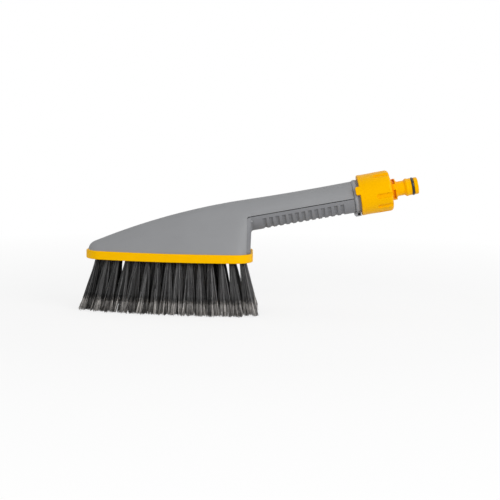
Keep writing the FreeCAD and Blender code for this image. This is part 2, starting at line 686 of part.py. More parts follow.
def build_shells():
    """Main shell and grip shell, cut from one hollow form along the parting line."""
    blend = plain(d.blend_step)
    wall = plain(d.shell_wall)
    draft = Rotation(Y_AXIS, plain(d.rear_draft))
    under_grip = hose_axis_z(rear_x) - plain(d.belly_drop) - plain(d.grip_fillet) / 4
    wedge_low = Vector(rear_x, -FAR / 2, under_grip) - draft.multVec(Vector(0, 0, 2 * under_grip))
    wedge = add(
        "Part::Box", "rear_wedge", Placement(wedge_low, draft),
        Length=FAR, Width=FAR, Height=2 * under_grip,
    )
    outer = fused("hollow_outer", [
        cut("head_drafted", held("head_outer", head_form(rim_step)), [wedge]),
        held("skirt_outer", plan_prism(skirt_outer, skirt_low, 0)),
        held("handle_outer", handle_form(blend, rear_x, shell_end)),
        held("grip_fillet_form", fillet_form()),
    ])
    hollow_start = rear_x - wall - plain(d.inner_overlap)
    skin = outer
    for name, shape in (
        ("head_inner", head_form(shell_inner)),
        ("skirt_inner", plan_prism(skirt_inner, skirt_low - OVER, OVER / 2)),
        ("handle_inner", handle_form(wall + plain(d.inner_step), hollow_start, OVER)),
    ):
        skin = cut("skin_without_" + name, skin, [held(name, shape)])
    bosses = []
    for index, (x, y, run_x, run_y, column) in enumerate(screws):
        place = Placement(Vector(x, y, plate_high + plain(d.fit_gap)), NO_TURN)
        post = add("Part::Cylinder", "boss_" + str(index), place, Radius=d.boss_r, Height=FAR / 4)
        bosses.append(post)
    boss_room = held("boss_room", head_form(rim_step + wall / 2))
    posts = add("Part::Common", "bosses", Base=fused("boss_posts", bosses), Tool=boss_room)
    pin_x = rear_x + plain(d.grip_pin_x)
    pin_z = hose_axis_z(pin_x) - plain(d.parting_drop) - plain(d.grip_pin_drop)
    ears = []
    pins = []
    holes = []
    ear_low = pin_z - plain(d.ear_below)
    ear_front = pin_x - plain(d.ear_length) / 2
    ear_rear = pin_x + plain(d.ear_length) / 2
    room = handle_radius(ear_rear) - wall - 3 * plain(d.fit_gap)
    ear_out = math.sqrt(room ** 2 - (handle_middle(ear_rear) - ear_low) ** 2)
    in_skin = handle_radius(ear_front) - wall / 8
    ear_high = handle_middle(ear_front) + math.sqrt(in_skin ** 2 - ear_out ** 2)
    for side, word in ((-1, "near"), (1, "far")):
        low = Vector(ear_front, side * ear_out, ear_low)
        if side > 0:
            low.y -= plain(d.ear_thick)
        ear = add(
            "Part::Box", "ear_" + word, Placement(low, NO_TURN),
            Length=d.ear_length, Width=d.ear_thick, Height=ear_high - ear_low,
        )
        ears.append(ear)
        turn = Rotation(X_AXIS, -90 * side)
        start = Vector(pin_x, side * (ear_out - plain(d.ear_thick)), pin_z)
        length = handle_radius(pin_x) + OVER - ear_out + plain(d.ear_thick)
        pins.append(add(
            "Part::Cylinder", "pin_" + word, Placement(start, turn), Radius=d.grip_pin_r, Height=length,
        ))
        holes.append(add(
            "Part::Cylinder", "pin_hole_" + word, Placement(start, turn),
            Radius=d.grip_pin_r + d.press_gap, Height=length,
        ))
    pilots = []
    for index, (x, y, run_x, run_y, column) in enumerate(screws):
        place = Placement(Vector(x, y, plate_low), NO_TURN)
        pilots.append(add(
            "Part::Cylinder", "pilot_" + str(index), place, Radius=d.screw_r + d.thread_gap,
            Height=d.plate_thick + d.screw_bite + OVER,
        ))
    tail_room = held("tail_room", tail_block(plain(d.seam_gap), plain(d.tail_gap)))
    upper = add("Part::Cut", "upper_skin", Base=skin, Tool=tail_room)
    filled = fused("upper_filled", [upper, posts] + ears)
    node("main_shell", cut("main_shell_solid", filled, pilots + holes))
    lower = add("Part::Common", "lower_skin", Base=skin, Tool=held("tail_space", tail_block(0, 0)))
    grooves = []
    tilt_place = in_axis_frame()
    margin = math.radians(plain(d.rib_margin))
    turn = Rotation(
        Vector(0, -math.cos(margin), -math.sin(margin)), Vector(0, math.sin(margin), -math.cos(margin)), X_AXIS,
    )
    lean = math.cos(math.radians(plain(d.tilt)))
    for index in range(int(plain(d.rib_count))):
        along = -plain(d.rib_last) - index * plain(d.rib_pitch)
        x = plain(d.axis_x) + along * lean
        drop = (hose_axis_z(x) - handle_middle(x)) * lean
        mean_r = handle_radius(x) * (1 + lean) / 2
        place = tilt_place.multiply(Placement(Vector(along, 0, -drop), turn))
        grooves.append(add(
            "Part::Torus", "groove_" + str(index), place, Radius1=mean_r + d.rib_groove_r - d.rib_depth,
            Radius2=d.rib_groove_r, Angle3=180 - 2 * d.rib_margin,
        ))
    node("grip_shell", cut("grip_shell_solid", lower, grooves + holes))
    trimmed = held("pin_room", handle_form(blend + plain(d.grip_pin_sunk), hollow_start, 0.0))
    node("grip_pins", add("Part::Common", "grip_pins_solid", Base=grouped("pin_bars", pins), Tool=trimmed))


def build_rim():
    """Bumper rim: a soft band round the skirt with a lip under it."""
    low = -plain(d.rim_height)
    band = held("rim_band", plan_prism(0, low, 0))
    hollow = held("rim_hollow", plan_prism(plain(d.rim_wall), skirt_low - plain(d.fit_gap), OVER))
    mouth = held("rim_mouth", plan_prism(shell_inner, low - OVER, OVER))
    raw = cut("rim_raw", band, [hollow, mouth])
    doc.recompute()
    edges = []
    for index, edge in enumerate(raw.Shape.Edges, start=1):
        box = edge.BoundBox
        middle = edge.valueAt((edge.FirstParameter + edge.LastParameter) / 2)
        level = box.ZLength < 1e-6 and (abs(box.ZMax) < 1e-6 or abs(box.ZMax - low) < 1e-6)
        if level and abs(abs(middle.y) - half_width(middle.x, 0)) < 1e-3:
            edges.append(index)
        elif level and abs(middle.x - plain(d.head_length)) < 1e-6:
            edges.append(index)
    rounded = doc.addObject("Part::Fillet", "bumper_rim_solid")
    rounded.Base = raw
    rounded.Edges = [(index, plain(d.rim_edge_r), plain(d.rim_edge_r)) for index in edges]
    node("bumper_rim", rounded)


def build_plate():
    """Brush plate with a leaning blind hole for each tuft, and room for the rose and the screws."""
    blank = held("plate_blank", plan_prism(plate_inset, plate_low, plate_high))
    top = plate_low + plain(d.tuft_hole_depth)
    below = plate_low - OVER / 2
    hole_r = plain(d.tuft_hole_r)
    holes = [leaning(*place[:4], [(top, hole_r), (below, hole_r)]) for place in tufts]
    tools = [held("tuft_holes", Part.makeCompound(holes))]
    for index, (x, y, run_x, run_y, column) in enumerate(screws):
        place = Placement(Vector(x, y, plate_low - OVER), NO_TURN)
        tools.append(add(
            "Part::Cylinder", "shank_hole_" + str(index), place, Radius=d.screw_r + 2 * d.fit_gap, Height=FAR / 4,
        ))
        tools.append(add(
            "Part::Cylinder", "head_hole_" + str(index), place,
            Radius=d.screw_head_r + d.fit_gap, Height=d.screw_head_depth + OVER,
        ))
    under_rose = Placement(Vector(plain(d.rose_x), 0, plate_low - OVER), NO_TURN)
    tools.append(add(
        "Part::Cylinder", "rose_seat", under_rose, Radius=d.rose_r + d.fit_gap, Height=d.rose_face + OVER,
    ))
    tools.append(add("Part::Cylinder", "rose_hole", under_rose, Radius=d.rose_neck_r + d.fit_gap, Height=FAR / 4))
    for index, side in enumerate((-1, 1)):
        spot = Vector(plain(d.rose_x), side * plain(d.elbow_screw_ring), plate_high - plain(d.elbow_bite) - OVER / 2)
        tools.append(add(
            "Part::Cylinder", "elbow_pilot_" + str(index), Placement(spot, NO_TURN),
            Radius=d.elbow_screw_r + d.thread_gap, Height=FAR / 4,
        ))
    node("brush_plate", cut("brush_plate_solid", blank, tools))


def build_tufts():
    """Bristle tufts by place on the plate, their anchor strips and the plate's screws."""
    depth = plate_low + plain(d.tuft_hole_depth)
    fold = depth - plain(d.anchor_height) - plain(d.fit_gap)
    root_r = plain(d.tuft_hole_r) - plain(d.fit_gap) / 2
    groups = {"tufts_front": [], "tufts_middle": [], "tufts_rear": []}
    names = list(groups)
    columns = int(plain(d.tuft_columns))
    anchors = []
    for tuft in tufts:
        x, y, run_x, run_y, column = tuft
        stages = [(fold, root_r), (plate_low, root_r), (tip_z, tip_radius(tuft, tufts))]
        shape = leaning(x, y, run_x, run_y, stages)
        groups[names[min(column * len(names) // columns, len(names) - 1)]].append(shape)
        drop = plate_low - depth
        middle = Vector(x + run_x * drop, y + run_y * drop, depth)
        thick, length, height = plain(d.anchor_thick), plain(d.anchor_length), plain(d.anchor_height)
        corner = middle - Vector(thick / 2, length / 2, height)
        anchors.append(Part.makeBox(thick, length, height, corner))
    for name, shapes in groups.items():
        node(name, held(name + "_solids", Part.makeCompound(shapes)))
    node("tuft_anchors", held("tuft_anchor_solids", Part.makeCompound(anchors)))
    pieces = []
    head_low = 2 * plain(d.fit_gap)
    for index, (x, y, run_x, run_y, column) in enumerate(screws):
        foot = Vector(x, y, plate_low + head_low)
        head = add(
            "Part::Cylinder", "screw_head_" + str(index), Placement(foot, NO_TURN),
            Radius=d.screw_head_r, Height=d.screw_head_depth - 2.5 * d.fit_gap,
        )
        shank = add(
            "Part::Cylinder", "screw_shank_" + str(index), Placement(foot, NO_TURN),
            Radius=d.screw_r, Height=d.plate_thick + d.screw_bite - head_low,
        )
        slot_low = foot - Vector(plain(d.screw_head_r) + OVER, plain(d.screw_slot) / 2, OVER)
        slot = add(
            "Part::Box", "screw_slot_" + str(index), Placement(slot_low, NO_TURN),
            Length=2 * d.screw_head_r + 2 * OVER, Width=d.screw_slot, Height=d.screw_slot_depth + OVER,
        )
        pieces.append(cut("plate_screw_" + str(index), fused("plate_screw_raw_" + str(index), [head, shank]), [slot]))
    node("plate_screws", grouped("plate_screw_set", pieces))


def ring(name, along, middle_r, wire_r):
    """A rubber ring round the hose axis."""
    place = Placement(Vector(plain(along), 0, 0), ALONG_X)
    return add("Part::Torus", name, place, Radius1=middle_r, Radius2=wire_r)


def build_outlet():
    """Spray rose, its seal, the outlet elbow with its screws, and the feed tube with its clips."""
    place = Placement(Vector(plain(d.rose_x), 0, plate_low), Rotation(Y_AXIS, -90))
    rise = d.plate_thick
    face = d.rose_face - d.fit_gap / 2
    rose = turned("rose_blank", [
        (0, 0), (0, d.rose_r), (face, d.rose_r), (face, d.rose_neck_r),
        (rise, d.rose_neck_r), (rise, d.duct_r), (d.rose_face, d.duct_r), (d.rose_face, 0),
    ])
    through = d.rose_face + 2 * OVER
    spots = [Vector(-OVER, 0, 0)]
    for index in range(int(plain(d.jet_count))):
        angle = math.radians(360 / plain(d.jet_count) * index)
        spots.append(Vector(-OVER, math.cos(angle) * plain(d.jet_ring_r), math.sin(angle) * plain(d.jet_ring_r)))
    jets = []
    for index, spot in enumerate(spots):
        jets.append(add(
            "Part::Cylinder", "jet_" + str(index), Placement(spot, ALONG_X), Radius=d.jet_r, Height=through,
        ))
    node("spray_rose", cut("spray_rose_solid", rose, jets), place)

    tilt = math.radians(plain(d.tilt))
    corner = Vector(plain(d.rose_x), 0, hose_axis_z(plain(d.rose_x)))
    bend_r = plain(d.elbow_bend_r)
    reach = bend_r * math.tan((math.pi / 2 - tilt) / 2)
    foot_z = plate_high + plain(d.fit_gap)
    run = Vector(math.cos(tilt), 0, math.sin(tilt))
    barb_start = corner + run * reach
    barb_length = plain(d.tube_overlap) + plain(d.barb_bare)
    hub = Vector(corner.x + bend_r, 0, corner.z - reach)
    outside = {}
    for word, radius in (("outer", d.duct_r + d.duct_wall), ("inner", d.duct_r)):
        over = OVER if word == "inner" else 0.0
        riser = add(
            "Part::Cylinder", "riser_" + word, Placement(Vector(corner.x, 0, foot_z - over), NO_TURN),
            Radius=radius, Height=corner.z - reach - foot_z + over,
        )
        bend_turn = Rotation(Vector(-1, 0, 0), Z_AXIS, Y_AXIS)
        bend = add(
            "Part::Torus", "bend_" + word, Placement(hub, bend_turn),
            Radius1=d.elbow_bend_r, Radius2=radius, Angle3=90 - d.tilt,
        )
        barb_turn = Rotation(Y_AXIS, 90 - plain(d.tilt))
        barb = add(
            "Part::Cylinder", "barb_" + word, Placement(barb_start, barb_turn),
            Radius=radius, Height=barb_length + over,
        )
        outside[word] = [riser, bend, barb]
    flange = add(
        "Part::Cylinder", "elbow_flange_disc", Placement(Vector(corner.x, 0, foot_z), NO_TURN),
        Radius=d.elbow_flange_r, Height=d.elbow_flange,
    )
    seal_r = d.rose_neck_r + d.seal_wire_r / 3
    seal_place = Placement(Vector(corner.x, 0, foot_z + plain(d.seal_wire_r) - plain(d.fit_gap)), NO_TURN)
    seal = add("Part::Torus", "outlet_seal_ring", seal_place, Radius1=seal_r, Radius2=d.seal_wire_r)
    gland = add(
        "Part::Torus", "outlet_gland", Placement(seal_place.Base, NO_TURN),
        Radius1=seal_r, Radius2=d.seal_wire_r + d.fit_gap / 2,
    )
    screws_up = []
    clear = []
    grip = d.elbow_bite + d.fit_gap + d.elbow_flange
    cap_height = 1.5 * d.elbow_screw_r
    for index, side in enumerate((-1, 1)):
        spot = Vector(corner.x, side * plain(d.elbow_screw_ring), plate_high - plain(d.elbow_bite))
        cap_spot = spot + Vector(0, 0, plain(grip + d.fit_gap / 2))
        shank = add(
            "Part::Cylinder", "elbow_shank_" + str(index), Placement(spot, NO_TURN),
            Radius=d.elbow_screw_r, Height=grip + cap_height / 2,
        )
        cap = add(
            "Part::Cylinder", "elbow_cap_" + str(index), Placement(cap_spot, NO_TURN),
            Radius=2 * d.elbow_screw_r, Height=cap_height,
        )
        screws_up.append(fused("elbow_screw_" + str(index), [shank, cap]))
        clear.append(add(
            "Part::Cylinder", "elbow_hole_" + str(index), Placement(spot, NO_TURN),
            Radius=d.elbow_screw_r + 1.5 * d.fit_gap, Height=grip + 2 * OVER,
        ))
    body = fused("elbow_body", outside["outer"] + [flange])
    node("outlet_elbow", cut("outlet_elbow_solid", body, outside["inner"] + [gland] + clear))
    beyond = seal_r + 2 * d.seal_wire_r
    floor_low = Vector(corner.x - plain(beyond), -plain(beyond), foot_z - 2 * plain(d.seal_wire_r))
    node("outlet_seal", cut("outlet_seal_flat", seal, [add(
        "Part::Box", "seal_floor", Placement(floor_low, NO_TURN),
        Length=2 * beyond, Width=2 * beyond, Height=2 * d.seal_wire_r,
    )]))
    node("elbow_screws", grouped("elbow_screw_set", screws_up))

    start = axis_along(corner.x) + reach + barb_length - plain(d.tube_overlap)
    end = d.insert_start - d.tube_short
    inner_r = d.duct_r + d.duct_wall + d.fit_gap / 2
    outer_r = inner_r + d.tube_wall
    node("feed_tube", turned("feed_tube_solid", [
        (start, inner_r), (start, outer_r), (end, outer_r), (end, inner_r),
    ]), in_axis_frame())
    clips = []
    front_clip = start + plain(d.tube_overlap - d.clip_width) / 2
    rear_clip = plain(0 - d.collar_back - d.collar_sleeve - d.clip_width - d.clip_gap)
    inside = outer_r + d.fit_gap / 2
    half = plain(d.clip_mouth) / 2
    for index, along in enumerate((front_clip, rear_clip)):
        band = turned("clip_band_" + str(index), [
            (along, inside), (along, inside + d.clip_thick),
            (along + plain(d.clip_width), inside + d.clip_thick), (along + plain(d.clip_width), inside),
        ])
        mouth = add(
            "Part::Box", "clip_mouth_" + str(index), Placement(Vector(along - OVER, -half, 0), NO_TURN),
            Length=d.clip_width + 2 * OVER, Width=d.clip_mouth, Height=inside + d.clip_thick + OVER,
        )
        open_band = cut("clip_open_" + str(index), band, [mouth])
        ears = []
        for side in (-1, 1):
            y = half if side > 0 else -half - plain(d.clip_thick)
            low = Vector(along, y, plain(inside) + plain(d.clip_thick) / 2)
            ears.append(add(
                "Part::Box", "clip_ear_" + str(index) + ("a" if side > 0 else "b"), Placement(low, NO_TURN),
                Length=d.clip_width, Width=d.clip_thick, Height=d.clip_ear,
            ))
        clips.append(fused("hose_clip_" + str(index), [open_band] + ears))
    node("hose_clips", grouped("hose_clip_set", clips), in_axis_frame())


def build_collar():
    """End collar: a sleeve inside the shells, a flange, the dial's neck and snap ridge, and the stop lug."""
    back = 0 - d.collar_back
    front = back + d.collar_flange
    neck_end = d.insert_end - d.fit_gap
    snap_r = d.collar_neck_r + d.snap_rise
    bore = d.insert_r + d.fit_gap
    through = d.duct_r + d.duct_wall + d.tube_wall + d.tube_room
    bed = d.insert_start - d.fit_gap
    blank = turned("collar_blank", [
        (back, through), (back, d.collar_r - d.collar_bevel_rise), (back + d.collar_bevel, d.collar_r),
        (front, d.collar_r), (front, d.collar_neck_r), (d.snap_start, d.collar_neck_r), (d.snap_start, snap_r),
        (d.snap_start + d.snap_width, d.collar_neck_r), (neck_end, d.collar_neck_r), (neck_end, bore),
        (bed, bore), (bed, through),
    ])
    overlap = d.collar_flange / 4
    inset = plain(d.shell_wall + d.inner_step + d.fit_gap)
    sleeve_form = handle_form(inset, split_x, plain(back + overlap))
    sleeve_form.Placement = in_axis_frame().inverse().multiply(sleeve_form.Placement)
    window = Placement(Vector(plain(back) - plain(d.collar_sleeve), -FAR / 2, -FAR / 2), NO_TURN)
    sleeve = add("Part::Common", "collar_sleeve", Base=held("sleeve_form", sleeve_form), Tool=add(
        "Part::Box", "sleeve_window", window, Length=d.collar_sleeve + overlap, Width=FAR, Height=FAR,
    ))
    hole_start = Vector(plain(back - d.collar_sleeve) - OVER, 0, 0)
    hole = add(
        "Part::Cylinder", "sleeve_hole", Placement(hole_start, ALONG_X),
        Radius=through, Height=d.collar_sleeve + overlap + 2 * OVER,
    )
    half = plain(d.lug_width) / 2
    under = plain(d.belly_drop) * math.cos(math.radians(plain(d.tilt))) + plain(d.fit_gap)
    block = add(
        "Part::Box", "lug_block", Placement(Vector(plain(back), -half, -plain(d.lug_r)), NO_TURN),
        Length=d.collar_back - d.lug_end, Width=d.lug_width, Height=d.lug_r - d.collar_neck_r + d.snap_rise,
    )
    heel = add(
        "Part::Box", "lug_heel", Placement(Vector(-plain(d.lug_start), -half, -plain(d.lug_r)), NO_TURN),
        Length=d.lug_start - d.collar_back + overlap, Width=d.lug_width, Height=d.lug_r - under,
    )
    slant = Rotation(Y_AXIS, 45)
    bevel_spot = Vector(-plain(d.lug_start), -half - OVER, plain(d.lug_bevel - d.lug_r))
    bevel_low = bevel_spot - slant.multVec(Vector(plain(d.lug_bevel), 0, 2 * plain(d.lug_bevel)))
    bevel = add(
        "Part::Box", "lug_bevel_cut", Placement(bevel_low, slant),
        Length=4 * d.lug_bevel, Width=d.lug_width + 2 * OVER, Height=2 * d.lug_bevel,
    )
    pocket_low = Vector(-plain(d.lug_end + d.lug_skin + d.lug_slot), -half - OVER, plain(d.lug_skin - d.lug_r))
    pocket = add(
        "Part::Box", "lug_pocket", Placement(pocket_low, NO_TURN),
        Length=d.lug_slot, Width=d.lug_width + OVER - 2 * d.lug_skin, Height=d.lug_slot,
    )
    whole = fused("collar_whole", [blank, cut("collar_sleeve_open", sleeve, [hole]), block, heel])
    node("end_collar", cut("end_collar_solid", whole, [pocket, bevel]), in_axis_frame())


def shuttle_tip():
    """Tip of the shut shuttle, along the hose axis."""
    return d.seat_face - d.cone_bite


def build_valve():
    """Valve body with its barb, rubber seat, shuttle, shuttle rings and cam pins."""
    barb_r = d.duct_r + d.duct_wall
    barb_start = d.insert_start - d.barb_length
    seat_back = d.seat_face - d.seat_thick - d.fit_gap / 2
    blank = turned("valve_blank", [
        (barb_start, d.duct_r), (barb_start, barb_r), (d.insert_start, barb_r), (d.insert_start, d.insert_r),
        (d.insert_end, d.insert_r), (d.insert_end, d.barrel_r), (d.barrel_end, d.barrel_r),
        (d.barrel_end, d.outlet_r), (d.outlet_end, d.outlet_r), (d.outlet_end, d.plug_r + d.fit_gap),
        (d.plug_start, d.plug_r + d.fit_gap), (d.plug_start, d.piston_r), (d.seat_face, d.piston_r),
        (d.seat_face, d.seat_r + d.fit_gap), (seat_back, d.seat_r + d.fit_gap), (seat_back, d.duct_r),
    ])
    tip = shuttle_tip()
    pin_at = tip + d.pin_place
    slot_half = d.pin_r + d.run_gap
    outside = d.barrel_r + OVER
    slot_low = Vector(plain(pin_at - slot_half), -plain(outside), -plain(slot_half))
    slot = add(
        "Part::Box", "pin_slot", Placement(slot_low, NO_TURN),
        Length=d.shuttle_travel + 2 * slot_half, Width=2 * outside, Height=2 * slot_half,
    )
    node("valve_body", cut("valve_body_solid", blank, [slot]), in_axis_frame())
    seat_start = seat_back + d.fit_gap / 2
    node("valve_seat", turned("valve_seat_solid", [
        (seat_start, d.seat_hole_r), (seat_start, d.seat_r), (d.seat_face, d.seat_r), (d.seat_face, d.seat_hole_r),
    ]), in_axis_frame())

    body_r = d.piston_r - d.run_gap
    groove_r = d.piston_r - d.ring_gap - 2 * d.ring_wire_r
    corners = [
        (tip, 0), (tip, d.shuttle_nose_r), (tip + d.shuttle_nose, d.shuttle_stem_r),
        (tip + d.shuttle_head, d.shuttle_stem_r), (tip + d.shuttle_head, body_r),
    ]
    for middle in (d.ring_front, d.ring_rear):
        for along, radius in ((-1, body_r), (-1, groove_r), (1, groove_r), (1, body_r)):
            corners.append((tip + middle + along * (d.ring_wire_r + d.fit_gap), radius))
    end = tip + d.shuttle_length
    bore_start = tip + d.shuttle_nose + d.shuttle_web
    corners += [(end, body_r), (end, d.shuttle_bore_r), (bore_start, d.shuttle_bore_r), (bore_start, 0)]
    shuttle = turned("shuttle_blank", corners)
    ports = []
    reach = d.piston_r + OVER
    for index in range(2):
        turn = Rotation(X_AXIS, 90 * index)
        middle = Vector(plain(bore_start + d.fit_gap + d.port_r), 0, 0)
        start = middle + turn.multVec(Vector(0, 0, -plain(reach)))
        ports.append(add(
            "Part::Cylinder", "port_" + str(index), Placement(start, turn), Radius=d.port_r, Height=2 * reach,
        ))
    pins = []
    pin_tip = d.barrel_r + d.run_gap + d.sleeve_wall - d.pin_short
    pin_root = d.shuttle_bore_r + d.pin_web
    for side, word in ((-1, "near"), (1, "far")):
        turn = Rotation(X_AXIS, -90 * side)
        start = Vector(plain(pin_at), side * plain(pin_root), 0)
        pins.append(add(
            "Part::Cylinder", "cam_pin_" + word, Placement(start, turn), Radius=d.pin_r, Height=pin_tip - pin_root,
        ))
        ports.append(add(
            "Part::Cylinder", "cam_pin_hole_" + word, Placement(start, turn),
            Radius=d.pin_r + d.press_gap, Height=reach,
        ))
    node("flow_shuttle", cut("flow_shuttle_solid", shuttle, ports), in_axis_frame())
    node("cam_pins", grouped("cam_pin_set", pins), in_axis_frame())
    rings = []
    wire_r = d.ring_wire_r - d.ring_gap / 2
    for index, middle in enumerate((d.ring_front, d.ring_rear)):
        rings.append(ring("shuttle_ring_" + str(index), tip + middle, groove_r + d.ring_wire_r, wire_r))
    node("shuttle_rings", grouped("shuttle_ring_set", rings), in_axis_frame())


def rounded_edge(body, along, radius, rounding):
    """Rounds the circular edge of a turned body that lies at this place and radius."""
    doc.recompute()
    feature = body.Tip
    edges = []
    for index, edge in enumerate(feature.Shape.Edges, start=1):
        curve = edge.Curve
        if isinstance(curve, Part.Circle) and abs(curve.Radius - plain(radius)) < 1e-6:
            if abs(curve.Center.x - plain(along)) < 1e-6:
                edges.append("Edge" + str(index))
    fillet = body.newObject("PartDesign::Fillet", feature.Name + "_rounded")
    fillet.Base = (feature, edges)
    fillet.setExpression("Radius", rounding.text)


def build_dial():
    """Flow dial: outer skin with flutes and pointer tab, end wall, and the cam sleeve with two slots."""
    end = d.dial_start + d.dial_length
    bottom = end - d.dial_end_wall
    skin_in = d.dial_r - d.dial_wall
    lip_r = d.collar_neck_r + d.lip_gap
    sleeve_in = d.barrel_r + d.run_gap
    sleeve_out = sleeve_in + d.sleeve_wall
    band_end = d.dial_start + d.dial_rim_width
    blank = turned("dial_blank", [
        (d.dial_start, lip_r), (d.dial_start, d.dial_rim_r - d.dial_rim_bevel),
        (d.dial_start + d.dial_rim_bevel, d.dial_rim_r), (band_end, d.dial_rim_r), (band_end, d.dial_waist_r),
        (d.dial_start + d.dial_full / 2, d.dial_waist_r), (d.dial_start + d.dial_full, d.dial_r), (end, d.dial_r),
        (end, d.outlet_r + d.run_gap), (bottom, d.outlet_r + d.run_gap), (bottom, sleeve_in),
        (d.sleeve_start, sleeve_in), (d.sleeve_start, sleeve_out), (bottom, sleeve_out), (bottom, skin_in),
        (d.dial_start + d.dial_lip, skin_in), (d.dial_start + d.dial_lip, lip_r),
    ])
    rounded_edge(blank, end, d.dial_r, d.dial_edge_r)
    flutes = []
    places = int(plain(d.flute_places))
    for index in range(1, places):
        angle = math.radians(180 - plain(d.flute_start) + 360 / places * index)
        reach = plain(d.dial_r + d.flute_r - d.flute_depth)
        spot = Vector(plain(end - d.flute_length), reach * math.cos(angle), reach * math.sin(angle))
        flutes.append(add(
            "Part::Cylinder", "flute_" + str(index), Placement(spot, ALONG_X),
            Radius=d.flute_r, Height=d.flute_length + 2 * OVER,
        ))
        flutes.append(add("Part::Sphere", "flute_end_" + str(index), Placement(spot, NO_TURN), Radius=d.flute_r))
    tab_turn = Rotation(X_AXIS, -plain(d.tab_angle))
    tab_start = plain(d.dial_start - d.tab_reach)
    tab_low = Vector(tab_start, -plain(d.dial_rim_r), -plain(d.tab_width) / 2)
    tab = add(
        "Part::Box", "tab_block", Placement(tab_turn.multVec(tab_low), tab_turn),
        Length=d.tab_reach + d.dial_lip, Width=d.tab_thick, Height=d.tab_width,
    )
    doc.recompute()
    corner_r = plain(d.tab_corner_r)
    corners = doc.addObject("Part::Fillet", "tab_rounded")
    corners.Base = tab
    corners.Edges = [
        (index, corner_r, corner_r) for index, edge in enumerate(tab.Shape.Edges, start=1)
        if abs(edge.Length - plain(d.tab_thick)) < 1e-6 and abs(edge.BoundBox.XMax - tab_start) < 1e-6
    ]
    tab_round = add(
        "Part::Cylinder", "tab_round", Placement(Vector(tab_start - OVER, 0, 0), ALONG_X),
        Radius=d.dial_rim_r, Height=d.tab_reach + d.dial_lip + 2 * OVER,
    )
    tab_shape = add("Part::Common", "tab_shape", Base=corners, Tool=tab_round)
    whole = fused("dial_whole", [blank, tab_shape])
    node("flow_dial", cut("flow_dial_solid", whole, flutes + cam_slots()), in_axis_frame())


def cam_slots():
    """The two helical slots in the cam sleeve that push the pins along as the dial turns."""
    travel = plain(d.shuttle_travel)
    turn_angle = plain(d.dial_travel)
    pitch = travel * 360 / turn_angle
    low_r = plain(d.barrel_r) - OVER / 2
    high_r = plain(d.barrel_r + d.run_gap + d.sleeve_wall) + OVER / 2
    mean_r = (low_r + high_r) / 2
    half = plain(d.pin_r + d.run_gap)
    extra = math.degrees(half / plain(d.barrel_r))
    height = pitch * (turn_angle + 2 * extra) / 360
    pin_at = plain(shuttle_tip() + d.pin_place)
    axial = half / math.cos(math.atan(pitch / (2 * math.pi * mean_r))) + plain(d.slot_ease)
    helix = Part.makeHelix(pitch, height, mean_r, 0, True)
    corners = [
        Vector(low_r, 0, -axial), Vector(high_r, 0, -axial), Vector(high_r, 0, axial), Vector(low_r, 0, axial),
    ]
    frame = Part.makePolygon(corners + corners[:1])
    slot = Part.Wire(helix.Edges).makePipeShell([frame], True, True)
    to_axis = Rotation(Y_AXIS, Z_AXIS, X_AXIS)
    tools = []
    for index, first in enumerate((0, 180)):
        lean = Rotation(X_AXIS, first + extra)
        start = Placement(Vector(pin_at - pitch * extra / 360, 0, 0), lean.multiply(to_axis))
        item = held("cam_slot_" + str(index), slot.copy())
        item.Placement = start
        tools.append(item)
    return tools


